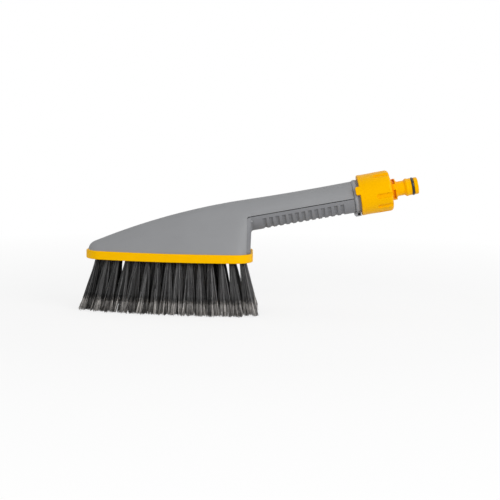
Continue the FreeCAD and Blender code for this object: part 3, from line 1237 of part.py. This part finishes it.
def build_spigot():
    """Hose spigot with its plug, base ring, latch ridge and ringed nose, and what it holds."""
    plug_back = d.plug_start + d.fit_gap
    base_end = d.base_start + d.base_width
    ridge_start = d.neck_end + d.latch_lead
    ridge_end = ridge_start + d.latch_width
    groove_half = d.nose_ring_r + d.fit_gap / 2
    groove_r = d.nose_r - 2 * d.nose_ring_r + d.nose_ring_proud
    inlet_r = d.spigot_bore_r + d.filter_ledge
    blank = turned("spigot_blank", [
        (plug_back, inlet_r), (plug_back, d.plug_r), (d.base_start, d.plug_r), (d.base_start, d.base_r),
        (base_end, d.base_r), (base_end, d.neck_r), (d.neck_end, d.neck_r), (ridge_start, d.latch_r),
        (ridge_end, d.latch_r), (ridge_end + d.latch_fall, d.nose_r), (d.nose_ring_at - groove_half, d.nose_r),
        (d.nose_ring_at - groove_half, groove_r), (d.nose_ring_at + groove_half, groove_r),
        (d.nose_ring_at + groove_half, d.nose_r), (d.nose_end, d.nose_r), (d.nose_end, d.spigot_bore_r),
        (d.filter_seat, d.spigot_bore_r), (d.filter_seat, inlet_r),
    ])
    rounded_edge(blank, base_end, d.neck_r, d.neck_fillet)
    rounded_edge(blank, d.nose_end, d.nose_r, d.nose_end_r)
    sectors = []
    count = int(plain(d.base_pockets))
    pocket_start = Vector(plain(base_end - d.pocket_rim - d.pocket_width), 0, 0)
    for index in range(count):
        first = -90 - plain(d.pocket_angle) - plain(d.pocket_span) / 2 + 360 / count * index
        turn = ALONG_X.multiply(Rotation(Z_AXIS, first))
        sectors.append(add(
            "Part::Cylinder", "pocket_sector_" + str(index), Placement(pocket_start, turn),
            Radius=d.base_r + OVER, Height=d.pocket_width, Angle=d.pocket_span,
        ))
    core = add(
        "Part::Cylinder", "pocket_core", Placement(pocket_start - Vector(OVER, 0, 0), ALONG_X),
        Radius=d.base_r - d.pocket_depth, Height=d.pocket_width + 2 * OVER,
    )
    pockets = cut("base_pockets", fused("pocket_sectors", sectors), [core])
    node("hose_spigot", cut("hose_spigot_solid", blank, [pockets]), in_axis_frame())
    ring_middle_r = groove_r + d.nose_ring_r + d.press_gap
    node("nose_ring", ring("nose_ring_solid", d.nose_ring_at, ring_middle_r, d.nose_ring_r), in_axis_frame())
    mesh_end = d.filter_seat - d.fit_gap
    mesh_start = mesh_end - d.filter_length
    rim_start = mesh_end - d.filter_rim
    rim_r = inlet_r - d.fit_gap / 2
    open_r = rim_r - d.filter_room
    closed_r = rim_r - d.filter_end_room
    node("inlet_filter", turned("inlet_filter_solid", [
        (mesh_start, 0), (mesh_start, closed_r), (rim_start, open_r), (rim_start, rim_r),
        (mesh_end, rim_r), (mesh_end, open_r - d.filter_wall),
        (mesh_start + d.filter_wall, closed_r - d.filter_wall), (mesh_start + d.filter_wall, 0),
    ]), in_axis_frame())


build_shells()
build_rim()
build_plate()
build_tufts()
build_outlet()
build_collar()
build_valve()
build_dial()
build_spigot()
doc.recompute()

for item in doc.Objects:
    if "Invalid" in item.State or "Error" in item.State:
        raise RuntimeError(item.Name + " failed: " + str(item.State))
for name, item in nodes.items():
    if item.Shape.isNull() or not item.Shape.isValid():
        raise RuntimeError(name + " has no valid shape")

whole_box = FreeCAD.BoundBox()
for item in nodes.values():
    whole_box.add(item.Shape.optimalBoundingBox(False, False))
to_origin = Placement(Vector(-whole_box.Center.x, 0, -whole_box.ZMin), NO_TURN)
print("origin at", round(whole_box.Center.x, 4), round(whole_box.ZMin, 4), "box", whole_box)
os.makedirs("parts", exist_ok=True)
for name, item in nodes.items():
    item.Placement = to_origin.multiply(item.Placement)
    item.Shape.exportStep(os.path.join("parts", name + ".step"))
    print(name, len(item.Shape.Solids), "solids", round(item.Shape.Volume, 1), "mm3")
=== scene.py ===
"""Looks of the hose-fed wash brush, in metres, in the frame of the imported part."""

import json
import math
import random

import bmesh
import bpy
import numpy as np
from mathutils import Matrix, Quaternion, Vector


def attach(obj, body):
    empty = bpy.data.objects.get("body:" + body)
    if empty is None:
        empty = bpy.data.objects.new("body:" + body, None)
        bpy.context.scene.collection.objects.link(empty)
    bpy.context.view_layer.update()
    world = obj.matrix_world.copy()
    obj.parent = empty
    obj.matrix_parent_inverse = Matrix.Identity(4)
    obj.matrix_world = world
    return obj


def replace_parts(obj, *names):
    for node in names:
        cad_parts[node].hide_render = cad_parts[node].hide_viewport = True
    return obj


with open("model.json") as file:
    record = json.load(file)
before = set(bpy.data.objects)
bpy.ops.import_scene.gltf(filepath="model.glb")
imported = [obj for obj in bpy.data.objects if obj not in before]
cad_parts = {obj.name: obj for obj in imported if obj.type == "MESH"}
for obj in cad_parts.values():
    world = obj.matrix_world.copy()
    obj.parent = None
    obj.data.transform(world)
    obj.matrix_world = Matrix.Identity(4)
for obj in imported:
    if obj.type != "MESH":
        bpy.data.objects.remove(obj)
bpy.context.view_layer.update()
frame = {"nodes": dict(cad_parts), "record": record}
nodes = frame["nodes"]
scene = bpy.context.scene

SEED = 7
MM = 0.001

# Camera: where it aims, how far off it stands, how it is turned, and how much it sees at its aim
AIM = Vector((1.14, 0.0, 58.45)) * MM
DISTANCE = 1.2
ELEVATION = 7.0
ROLL = 0.9
SPAN = 475.0 * MM
SENSOR = 36.0
CLIP_NEAR = 0.05
CLIP_FAR = 60.0

# Floor: its size and paper, how much of a shadow shows near the brush, and where that fades out
FLOOR_REACH = 8.0
FLOOR_ROUGHNESS = 0.9
FLOOR_TONES = ((0.9, 0.9, 0.9), (0.96, 0.96, 0.96))
SPECKLE_SCALE = 500.0
SHADOW_SHARE = 0.2
SHADOW_FADE = (0.25, 0.7)

# World: the light it gives, and the brighter white that the camera and reflections see
WORLD_LIGHT = 0.42
WORLD_SEEN = 1.0
WHITE = (1.0, 1.0, 1.0)

# What most of a noise lies between
NOISE_RANGE = (0.3, 0.7)

# Moulded plastic: noise scales are in turns per metre
FLOW_SCALES = (14.0, 55.0, 55.0)
PATCH_SCALE = 38.0
MOTTLE_RANGE = (0.7, 1.3)
WEAR_SCALE = 210.0
WEAR_IN_GRAIN = 0.8
WEAR_GLOSSIER = 0.05
WEAR_DULLER = 0.07
GRAIN_STRENGTH = 0.6
# Painted shade in tight corners: how far it looks for cover, the openness over which it fades out,
# and its samples
CORNER_SHADE_REACH = 3.5 * MM
CORNER_SHADE_RANGE = (0.5, 0.97)
CORNER_SHADE_SAMPLES = 8
EDGE_SAMPLES = 4
GLOW_RADII = (1.0, 0.5, 0.12)
GLOW_REACH = 1.5 * MM

# Metal: how its fine lines change the tone, the gloss and the height
LINE_RANGE = (0.2, 0.8)
LINE_DARK = 0.86
LINE_BRIGHT = 1.08
LINE_GLOSSIER = 0.08
LINE_DULLER = 0.1
LINE_DEPTH = 0.01 * MM
LINE_STRENGTH = 0.5
METAL_EDGE = 0.15 * MM

# Colours of the filaments, each pair for the darkest and the lightest filament
FILAMENT_DARK = ((0.001, 0.001, 0.0012), (0.142, 0.141, 0.146))
FILAMENT_PALE = ((0.035, 0.032, 0.03), (0.7, 0.67, 0.64))
# Painted shadow of the rim on the filaments
RIM_PAINTED_SHADOW = (0.001, 0.001, 0.001)

# Filaments turn pale at their tips, from none to full by height above PALE_BELOW, with a ragged
# border, and take a painted black shadow at the rim, from none below its lower edge to full above
# that edge
PALE_BELOW = 13.6 * MM
PALE_FULL = 2.0 * MM
PALE_NONE = 6.0 * MM
RAGGED_SCALE = 420.0
RAGGED_REACH = 9.0 * MM
RIM_SHADOW_NONE = 6.0 * MM
RIM_SHADOW_FULL = 1.0 * MM

# Pale flecks and fine bumps on the filaments
FLECK_SCALE = 900.0
FLECK_SHARE = 0.12
FILAMENT_ROUGHNESS = 0.4
FILAMENT_BUMP = 0.02 * MM

# Filaments: they stand in clumps, and a clump's places are shares of its tuft's radius
CLUMPS_PER_TUFT = 32
STRANDS_PER_CLUMP = 3
ROOT_OF_TIP = 0.5
ROOT_DRIFT = 0.45
LOOSE_AT_ROOT = 0.05
LOOSE_AT_TIP = 0.06
STRAND_RADIUS = 0.32 * MM
RADIUS_SHARES = (0.75, 1.35)
STRAND_STEPS = 6
STRAND_BEND = 0.45 * MM
TUBE_SIDES = 3

# Tone of a clump, as middle and spread, and how much a filament and a hair differ from it
CLUMP_TONE = (0.27, 0.4)
OWN_TONE = 0.12

# Tips: wider than the solids' tips, a little further aft, and not all as long
SPREAD_ALONG = 1.26
SPREAD_ACROSS = 1.06
TIPS_AFT = 1.1 * MM
TIPS_SHORT = 1.1 * MM

# Split hairs at the end of a filament
FLAG_HAIRS = 3
FLAG_LENGTH = 11.5 * MM
FLAG_RADIUS = 0.16 * MM
FLAG_RADIUS_SHARES = (1.3, 1.0, 0.8)
FLAG_REACH = 0.42 * MM
FLAG_SHORT = 1.4 * MM
FLAG_BOW = (-0.3, 0.6)

# How near points of a CAD tuft lie to be one point, or to be on the same end
WELD_REACH = 0.001 * MM
END_REACH = 0.01 * MM


# Node helpers


def tree_of(name):
    """A new material with an empty node tree, its output and its shader."""
    material = bpy.data.materials.new(name)
    material.use_nodes = True
    tree = material.node_tree
    tree.nodes.clear()
    output = tree.nodes.new("ShaderNodeOutputMaterial")
    shader = tree.nodes.new("ShaderNodeBsdfPrincipled")
    tree.links.new(shader.outputs["BSDF"], output.inputs["Surface"])
    return material, tree, shader


def place(tree):
    """Position on the piece itself, which every texture reads."""
    return tree.nodes.new("ShaderNodeTexCoord").outputs["Object"]


def stretched(tree, vector, scale):
    """The position with another scale along each axis."""
    node = tree.nodes.new("ShaderNodeVectorMath")
    node.operation = "MULTIPLY"
    tree.links.new(vector, node.inputs[0])
    node.inputs[1].default_value = scale
    return node.outputs["Vector"]


def noise(tree, vector, scale, detail=2.0, roughness=0.5):
    """Noise from 0 to 1 at a scale in turns per metre."""
    node = tree.nodes.new("ShaderNodeTexNoise")
    tree.links.new(vector, node.inputs["Vector"])
    node.inputs["Scale"].default_value = scale
    node.inputs["Detail"].default_value = detail
    node.inputs["Roughness"].default_value = roughness
    return node.outputs["Fac"]


def spread(tree, value, low, high, new_low, new_high):
    """The value moved from one range to another, and held within it."""
    node = tree.nodes.new("ShaderNodeMapRange")
    tree.links.new(value, node.inputs["Value"])
    node.inputs["From Min"].default_value = low
    node.inputs["From Max"].default_value = high
    node.inputs["To Min"].default_value = new_low
    node.inputs["To Max"].default_value = new_high
    return node.outputs["Result"]


def arithmetic(tree, operation, first, second):
    """One step of arithmetic on two values, each a socket or a number."""
    node = tree.nodes.new("ShaderNodeMath")
    node.operation = operation
    for index, value in enumerate((first, second)):
        if isinstance(value, (int, float)):
            node.inputs[index].default_value = value
        else:
            tree.links.new(value, node.inputs[index])
    return node.outputs["Value"]


def blended(tree, factor, first, second):
    """Two colours mixed by a factor: each is a socket or a tuple of three."""
    node = tree.nodes.new("ShaderNodeMix")
    node.data_type = "RGBA"
    tree.links.new(factor, node.inputs["Factor"])
    for socket, colour in ((node.inputs[6], first), (node.inputs[7], second)):
        if isinstance(colour, tuple):
            socket.default_value = (*colour, 1.0)
        else:
            tree.links.new(colour, socket)
    return node.outputs[2]


def mixed(tree, factor, first, second):
    """Two shaders mixed by a factor socket."""
    node = tree.nodes.new("ShaderNodeMixShader")
    tree.links.new(factor, node.inputs["Fac"])
    tree.links.new(first, node.inputs[1])
    tree.links.new(second, node.inputs[2])
    return node.outputs["Shader"]


def raised(tree, height, distance, strength=1.0, edge_radius=0.0):
    """A bump from a height socket, with edges rounded in the shading."""
    node = tree.nodes.new("ShaderNodeBump")
    node.inputs["Distance"].default_value = distance
    node.inputs["Strength"].default_value = strength
    tree.links.new(height, node.inputs["Height"])
    if edge_radius:
        bevel = tree.nodes.new("ShaderNodeBevel")
        bevel.inputs["Radius"].default_value = edge_radius
        bevel.samples = EDGE_SAMPLES
        tree.links.new(bevel.outputs["Normal"], node.inputs["Normal"])
    return node.outputs["Normal"]


def shade(colour, factor):
    """A darker or lighter tone of a colour."""
    return tuple(min(channel * factor, 1.0) for channel in colour)


# Materials


def moulded(
    name,
    colour,
    roughness=0.42,
    grain=2600.0,
    grain_depth=0.03,
    mottle=0.06,
    edge=0.35,
    gloss=0.5,
    gloss_colour=WHITE,
    glow=0.0,
    painted_shade=None,
):
    """Moulded plastic: fine grain, faint flow marks, slightly uneven gloss and rounded edges.

    The grain is in turns per metre, its depth and the edge's radius in millimetres. Where a
    painted shade colour is given, it is painted into tight corners, such as those between ribs.
    """
    material, tree, shader = tree_of(name)
    at = place(tree)
    flow = noise(tree, stretched(tree, at, FLOW_SCALES), 1.0, detail=3.0, roughness=0.55)
    patches = noise(tree, at, PATCH_SCALE)
    both = arithmetic(tree, "ADD", flow, patches)
    factor = spread(tree, both, *MOTTLE_RANGE, 0.0, 1.0)
    shader.inputs["Base Color"].default_value = (*colour, 1.0)
    tones = blended(tree, factor, shade(colour, 1.0 - mottle), shade(colour, 1.0 + mottle))
    # Painted shade: ambient occlusion darkens tight corners towards the painted shade colour
    if painted_shade:
        corner = tree.nodes.new("ShaderNodeAmbientOcclusion")
        corner.samples = CORNER_SHADE_SAMPLES
        corner.inputs["Distance"].default_value = CORNER_SHADE_REACH
        clear_of_painted_shade = spread(tree, corner.outputs["AO"], *CORNER_SHADE_RANGE, 0.0, 1.0)
        tones = blended(tree, clear_of_painted_shade, painted_shade, tones)
    tree.links.new(tones, shader.inputs["Base Color"])
    wear = noise(tree, at, WEAR_SCALE, detail=4.0, roughness=0.62)
    uneven = spread(tree, wear, *NOISE_RANGE, roughness - WEAR_GLOSSIER, roughness + WEAR_DULLER)
    tree.links.new(uneven, shader.inputs["Roughness"])
    fine = noise(tree, at, grain, roughness=0.6)
    height = arithmetic(tree, "ADD", fine, arithmetic(tree, "MULTIPLY", wear, WEAR_IN_GRAIN))
    normal = raised(tree, height, grain_depth * MM, GRAIN_STRENGTH, edge * MM)
    tree.links.new(normal, shader.inputs["Normal"])
    shader.inputs["Specular IOR Level"].default_value = gloss
    shader.inputs["Specular Tint"].default_value = (*gloss_colour, 1.0)
    if glow:
        shader.inputs["Subsurface Weight"].default_value = glow
        shader.inputs["Subsurface Radius"].default_value = GLOW_RADII
        shader.inputs["Subsurface Scale"].default_value = GLOW_REACH
    return material


def metal(name, colour, roughness, scales):
    """Drawn, woven or turned metal: its fine lines run along the axes of the lowest scale."""
    material, tree, shader = tree_of(name)
    lines = noise(tree, stretched(tree, place(tree), scales), 1.0, detail=3.0, roughness=0.7)
    shader.inputs["Metallic"].default_value = 1.0
    tones = blended(tree, lines, shade(colour, LINE_DARK), shade(colour, LINE_BRIGHT))
    tree.links.new(tones, shader.inputs["Base Color"])
    uneven = spread(tree, lines, *LINE_RANGE, roughness - LINE_GLOSSIER, roughness + LINE_DULLER)
    tree.links.new(uneven, shader.inputs["Roughness"])
    normal = raised(tree, lines, LINE_DEPTH, LINE_STRENGTH, METAL_EDGE)
    tree.links.new(normal, shader.inputs["Normal"])
    return material


def bristle_material(name):
    """Dark filaments, each its own tone, that turn pale and ragged at their split tips.

    Under the rim, where little light comes in, a painted shadow turns them black.
    """
    material, tree, shader = tree_of(name)
    own = tree.nodes.new("ShaderNodeAttribute")
    own.attribute_name = "tone"
    parts = tree.nodes.new("ShaderNodeSeparateXYZ")
    tree.links.new(place(tree), parts.inputs[0])
    dark = blended(tree, own.outputs["Fac"], *FILAMENT_DARK)
    pale = blended(tree, own.outputs["Fac"], *FILAMENT_PALE)
    ragged = arithmetic(tree, "MULTIPLY", noise(tree, place(tree), RAGGED_SCALE), RAGGED_REACH)
    level = arithmetic(tree, "ADD", parts.outputs["Z"], ragged)
    paleness = spread(tree, level, PALE_BELOW + PALE_FULL, PALE_BELOW + PALE_NONE, 1.0, 0.0)
    colour = blended(tree, paleness, dark, pale)
    # Painted shadow: the filaments turn black towards and above the rim's lower edge
    rim = nodes["bumper_rim"]
    rim_low = min((rim.matrix_world @ Vector(corner)).z for corner in rim.bound_box)
    painted_rim_shadow = spread(tree, parts.outputs["Z"], rim_low - RIM_SHADOW_NONE, rim_low + RIM_SHADOW_FULL, 0.0, 1.0)
    colour = blended(tree, painted_rim_shadow, colour, RIM_PAINTED_SHADOW)
    grain = noise(tree, place(tree), FLECK_SCALE)
    flecks = spread(tree, grain, *NOISE_RANGE, 0.0, FLECK_SHARE)
    tree.links.new(blended(tree, flecks, colour, pale), shader.inputs["Base Color"])
    shader.inputs["Roughness"].default_value = FILAMENT_ROUGHNESS
    tree.links.new(raised(tree, grain, FILAMENT_BUMP), shader.inputs["Normal"])
    return material


SHELL_GREY = (0.275, 0.279, 0.288)
GRIP_GREY = (0.213, 0.216, 0.228)
# Painted shade in the grip's tight corners, as a share of its grey
GRIP_PAINTED_SHADE = 0.45
COLLAR_GREY = (0.34, 0.346, 0.362)
# Painted shade in the collar's tight corners
COLLAR_PAINTED_SHADE = (0.18, 0.183, 0.192)
PALE_GREY = (0.55, 0.56, 0.57)
AMBER = (0.95, 0.475, 0.0)
# Painted shade in the amber's tight corners, darker and more orange
AMBER_PAINTED_SHADE = (0.88, 0.27, 0.0)
AMBER_GLOSS = (1.0, 0.55, 0.05)
RIM_AMBER = (1.0, 0.52, 0.0)
BLACK = (0.02, 0.02, 0.021)
MILKY = (0.5, 0.52, 0.53)
STEEL = (0.55, 0.56, 0.57)
MESH_STEEL = (0.45, 0.46, 0.47)
BRASS = (0.6, 0.42, 0.14)

# How fast the lines of a metal change along each axis, in turns per metre
DRAWN = (60.0, 3000.0, 3000.0)
WOVEN = (3500.0, 3500.0, 400.0)
TURNED = (2500.0, 100.0, 2500.0)

looks = {
    "shell_grey": moulded(
        "shell_grey_plastic",
        SHELL_GREY,
        roughness=0.52,
        mottle=0.03,
        grain_depth=0.02,
        gloss=0.32,
    ),
    "grip_grey": moulded(
        "grip_grey_plastic",
        GRIP_GREY,
        roughness=0.54,
        mottle=0.04,
        grain_depth=0.04,
        gloss=0.32,
        painted_shade=shade(GRIP_GREY, GRIP_PAINTED_SHADE),
    ),
    "collar_grey": moulded(
        "collar_grey_plastic",
        COLLAR_GREY,
        roughness=0.5,
        mottle=0.03,
        gloss=0.35,
        painted_shade=COLLAR_PAINTED_SHADE,
    ),
    "pale_grey": moulded("pale_grey_plastic", PALE_GREY, roughness=0.45),
    "rim_amber": moulded(
        "rim_amber_rubber",
        RIM_AMBER,
        roughness=0.5,
        mottle=0.03,
        grain_depth=0.04,
        edge=0.6,
        gloss=0.25,
        gloss_colour=AMBER_GLOSS,
    ),
    "amber": moulded(
        "amber_plastic",
        AMBER,
        roughness=0.36,
        mottle=0.03,
        edge=0.5,
        gloss=0.2,
        gloss_colour=AMBER_GLOSS,
        painted_shade=AMBER_PAINTED_SHADE,
    ),
    "black_plastic": moulded("black_plastic", BLACK, roughness=0.5),
    "seal_black": moulded("black_rubber", BLACK, roughness=0.22, grain=1500.0),
    "tube_clear": moulded("milky_tube", MILKY, roughness=0.35, glow=0.2),
    "steel": metal("drawn_steel", STEEL, 0.32, DRAWN),
    "mesh_steel": metal("woven_steel", MESH_STEEL, 0.4, WOVEN),
    "brass": metal("turned_brass", BRASS, 0.3, TURNED),
    "bristle": bristle_material("bristle_filament"),
}

for part in frame["record"]["subparts"]:
    node = nodes[part["node"]]
    node.data.materials.clear()
    node.data.materials.append(looks[part["material_slot"]])


# Bristles


def tuft_rods(node):
    """Root, tip and their radii for each tuft of a CAD node, read from its separate rods.

    Tufts of one column tie in x but for rounding, so their order can change from run to run.
    """
    mesh = bmesh.new()
    mesh.from_mesh(node.data)
    bmesh.ops.remove_doubles(mesh, verts=mesh.verts, dist=WELD_REACH)
    left = set(mesh.verts)
    rods = []
    while left:
        island = set()
        waiting = [left.pop()]
        while waiting:
            vertex = waiting.pop()
            island.add(vertex)
            for link in vertex.link_edges:
                other = link.other_vert(vertex)
                if other in left:
                    left.discard(other)
                    waiting.append(other)
        points = [vertex.co.copy() for vertex in island]
        low = min(point.z for point in points)
        high = max(point.z for point in points)
        ends = []
        for level in (high, low):
            ring = [point for point in points if abs(point.z - level) < END_REACH]
            middle = sum(ring, Vector()) / len(ring)
            ends.append((middle, max((point - middle).length for point in ring)))
        rods.append(ends)
    mesh.free()
    return sorted(rods, key=lambda ends: (ends[0][0].x, ends[0][0].y))


def loose(chance):
    """A random step along and across, with a spread of 1."""
    return Vector((chance.gauss(0, 1), chance.gauss(0, 1), 0.0))


def within_tuft(step):
    """The step, cut to a length of 1 where it is longer."""
    return step / max(step.length, 1.0)


def toned(tone):
    """The tone, held between 0 and 1."""
    return min(max(tone, 0.0), 1.0)


def clumps_of_tuft(chance):
    """For each clump its place at the tips, its place at the roots and its tone."""
    clumps = []
    for _ in range(CLUMPS_PER_TUFT):
        angle = chance.uniform(0, 2 * math.pi)
        out = math.sqrt(chance.uniform(0, 1))
        at_tips = Vector((math.cos(angle), math.sin(angle), 0.0)) * out
        drift = Vector((chance.uniform(-1, 1), chance.uniform(-1, 1), 0.0))
        at_roots = at_tips * ROOT_OF_TIP + drift * ROOT_DRIFT
        clumps.append((at_tips, at_roots, chance.gauss(*CLUMP_TONE)))
    return clumps


def tube(shape, line, radii, tone):
    """Adds a tube of one tone along a line of points to the shape's vertices, faces and tones."""
    vertices, faces, tones = shape
    first = len(vertices)
    count = len(line)
    for index, point in enumerate(line):
        ahead = line[min(index + 1, count - 1)] - line[max(index - 1, 0)]
        ahead.normalize()
        across = ahead.cross(Vector((0.0, 1.0, 0.0))).normalized()
        other = ahead.cross(across)
        for side in range(TUBE_SIDES):
            angle = 2 * math.pi * side / TUBE_SIDES
            outward = across * math.cos(angle) + other * math.sin(angle)
            vertices.append(point + outward * radii[index])
            tones.append(tone)
    for index in range(count - 1):
        here = first + index * TUBE_SIDES
        above = here + TUBE_SIDES
        for side in range(TUBE_SIDES):
            after = (side + 1) % TUBE_SIDES
            faces.append((here + side, here + after, above + after, above + side))
    last = first + (count - 1) * TUBE_SIDES
    faces.append(tuple(last + side for side in range(TUBE_SIDES)))


def filament(shape, rod, clump, chance):
    """Adds one filament of a tuft, with its split hairs, to the shape."""
    (root, root_radius), (tip, tip_radius) = rod
    at_tips, at_roots, clump_tone = clump
    thick = STRAND_RADIUS * chance.uniform(*RADIUS_SHARES)
    own = loose(chance)
    from_root = within_tuft(at_roots + own * LOOSE_AT_ROOT)
    from_tip = within_tuft(at_tips + own * LOOSE_AT_TIP)
    start = root + from_root * (root_radius - thick)
    end = tip + Vector((from_tip.x * SPREAD_ALONG, from_tip.y * SPREAD_ACROSS, 0.0)) * tip_radius
    end.x += TIPS_AFT
    end.z += chance.uniform(0.0, TIPS_SHORT)
    bend = loose(chance) * STRAND_BEND
    tone = toned(chance.gauss(clump_tone, OWN_TONE))
    split = 1.0 - FLAG_LENGTH / (end - start).length
    line = []
    for step in range(STRAND_STEPS + 1):
        share = split * step / STRAND_STEPS
        line.append(start.lerp(end, share) + bend * math.sin(math.pi * share) ** 2)
    tube(shape, line, [thick] * len(line), tone)
    fork = line[-1]
    radii = [FLAG_RADIUS * share for share in FLAG_RADIUS_SHARES]
    for _ in range(FLAG_HAIRS):
        off = loose(chance) * FLAG_REACH
        hair_end = end + off
        hair_end.z = end.z + chance.uniform(0.0, FLAG_SHORT)
        middle = fork.lerp(hair_end, 0.5) + off * chance.uniform(*FLAG_BOW)
        hair_tone = toned(tone + chance.gauss(0.0, OWN_TONE))
        tube(shape, [fork, middle, hair_end], radii, hair_tone)


def strands(name, rods, chance):
    """One object with the filaments of several tufts."""
    vertices = []
    faces = []
    tones = []
    for rod in rods:
        clumps = clumps_of_tuft(chance)
        for index in range(CLUMPS_PER_TUFT * STRANDS_PER_CLUMP):
            filament((vertices, faces, tones), rod, clumps[index % CLUMPS_PER_TUFT], chance)
    mesh = bpy.data.meshes.new(name)
    mesh.from_pydata([tuple(vertex) for vertex in vertices], [], faces)
    own = mesh.attributes.new("tone", "FLOAT", "POINT")
    own.data.foreach_set("value", np.array(tones, np.float32))
    mesh.polygons.foreach_set("use_smooth", [True] * len(mesh.polygons))
    mesh.materials.append(looks["bristle"])
    piece = bpy.data.objects.new(name, mesh)
    scene.collection.objects.link(piece)
    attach(piece, "brush")
    return piece


chance = random.Random(SEED)
for node_name in ("tufts_front", "tufts_middle", "tufts_rear"):
    rods = tuft_rods(nodes[node_name])
    half = len(rods) // 2
    for suffix, group in (("a", rods[:half]), ("b", rods[half:])):
        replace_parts(strands(node_name + "_bristles_" + suffix, group, chance), node_name)


# Floor, lamps, world and camera


def floor():
    """A pale floor that looks white and keeps a soft shadow near the brush."""
    mesh = bpy.data.meshes.new("floor")
    corners = [(-FLOOR_REACH, -FLOOR_REACH, 0), (FLOOR_REACH, -FLOOR_REACH, 0)]
    corners += [(FLOOR_REACH, FLOOR_REACH, 0), (-FLOOR_REACH, FLOOR_REACH, 0)]
    mesh.from_pydata(corners, [], [(0, 1, 2, 3)])
    piece = bpy.data.objects.new("floor", mesh)
    scene.collection.objects.link(piece)
    material, tree, shader = tree_of("floor_paper")
    shader.inputs["Roughness"].default_value = FLOOR_ROUGHNESS
    speckle = noise(tree, place(tree), SPECKLE_SCALE, detail=3.0)
    paper = blended(tree, speckle, *FLOOR_TONES)
    tree.links.new(paper, shader.inputs["Base Color"])
    white = tree.nodes.new("ShaderNodeEmission")
    white.inputs["Strength"].default_value = 1.0
    far = tree.nodes.new("ShaderNodeVectorMath")
    far.operation = "LENGTH"
    tree.links.new(place(tree), far.inputs[0])
    lit = spread(tree, far.outputs["Value"], *SHADOW_FADE, 1.0 - SHADOW_SHARE, 1.0)
    path = tree.nodes.new("ShaderNodeLightPath")
    seen = arithmetic(tree, "MULTIPLY", lit, path.outputs["Is Camera Ray"])
    surface = mixed(tree, seen, shader.outputs["BSDF"], white.outputs["Emission"])
    output = next(item for item in tree.nodes if item.type == "OUTPUT_MATERIAL")
    tree.links.new(surface, output.inputs["Surface"])
    mesh.materials.append(material)


def lamp(name, size, power, spot, target):
    """A soft lamp of a size in metres and a power in watts, at a spot and turned to a target."""
    light = bpy.data.lights.new(name, "AREA")
    light.shape = "RECTANGLE"
    light.size, light.size_y = size
    light.energy = power
    piece = bpy.data.objects.new(name, light)
    piece.location = spot
    piece.rotation_mode = "QUATERNION"
    piece.rotation_quaternion = (Vector(target) - Vector(spot)).to_track_quat("-Z", "Y")
    scene.collection.objects.link(piece)


def studio():
    """A world that lights softly and looks white to the camera and in reflections."""
    world = bpy.data.worlds.new("studio")
    scene.world = world
    world.use_nodes = True
    tree = world.node_tree
    tree.nodes.clear()
    output = tree.nodes.new("ShaderNodeOutputWorld")
    lights = []
    for strength in (WORLD_LIGHT, WORLD_SEEN):
        light = tree.nodes.new("ShaderNodeBackground")
        light.inputs["Color"].default_value = (*WHITE, 1.0)
        light.inputs["Strength"].default_value = strength
        lights.append(light.outputs["Background"])
    path = tree.nodes.new("ShaderNodeLightPath")
    seen = (path.outputs["Is Camera Ray"], path.outputs["Is Glossy Ray"])
    either = arithmetic(tree, "MAXIMUM", *seen)
    tree.links.new(mixed(tree, either, *lights), output.inputs["Surface"])


def view():
    """The camera, at the photograph's viewing angle."""
    lens = bpy.data.cameras.new("camera")
    lens.sensor_width = SENSOR
    lens.lens = SENSOR * DISTANCE / SPAN
    lens.clip_start = CLIP_NEAR
    lens.clip_end = CLIP_FAR
    camera = bpy.data.objects.new("camera", lens)
    scene.collection.objects.link(camera)
    rise = math.radians(ELEVATION)
    back = Vector((0.0, -math.cos(rise), math.sin(rise)))
    roll = Quaternion((0.0, 0.0, 1.0), math.radians(ROLL))
    camera.location = AIM + back * DISTANCE
    camera.rotation_mode = "QUATERNION"
    camera.rotation_quaternion = (-back).to_track_quat("-Z", "Y") @ roll
    scene.camera = camera


floor()
lamp("key", size=(1.1, 0.9), power=15.0, spot=(1.1, -1.15, 0.9), target=(0.05, 0.0, 0.06))
lamp("fill", size=(1.4, 1.0), power=4.6, spot=(-0.6, -1.4, 0.45), target=(0.0, 0.0, 0.06))
lamp("top", size=(1.2, 1.2), power=2.4, spot=(0.3, 0.3, 1.6), target=(0.0, 0.0, 0.06))
studio()
view()
scene.view_settings.view_transform = "Standard"

bpy.context.view_layer.update()
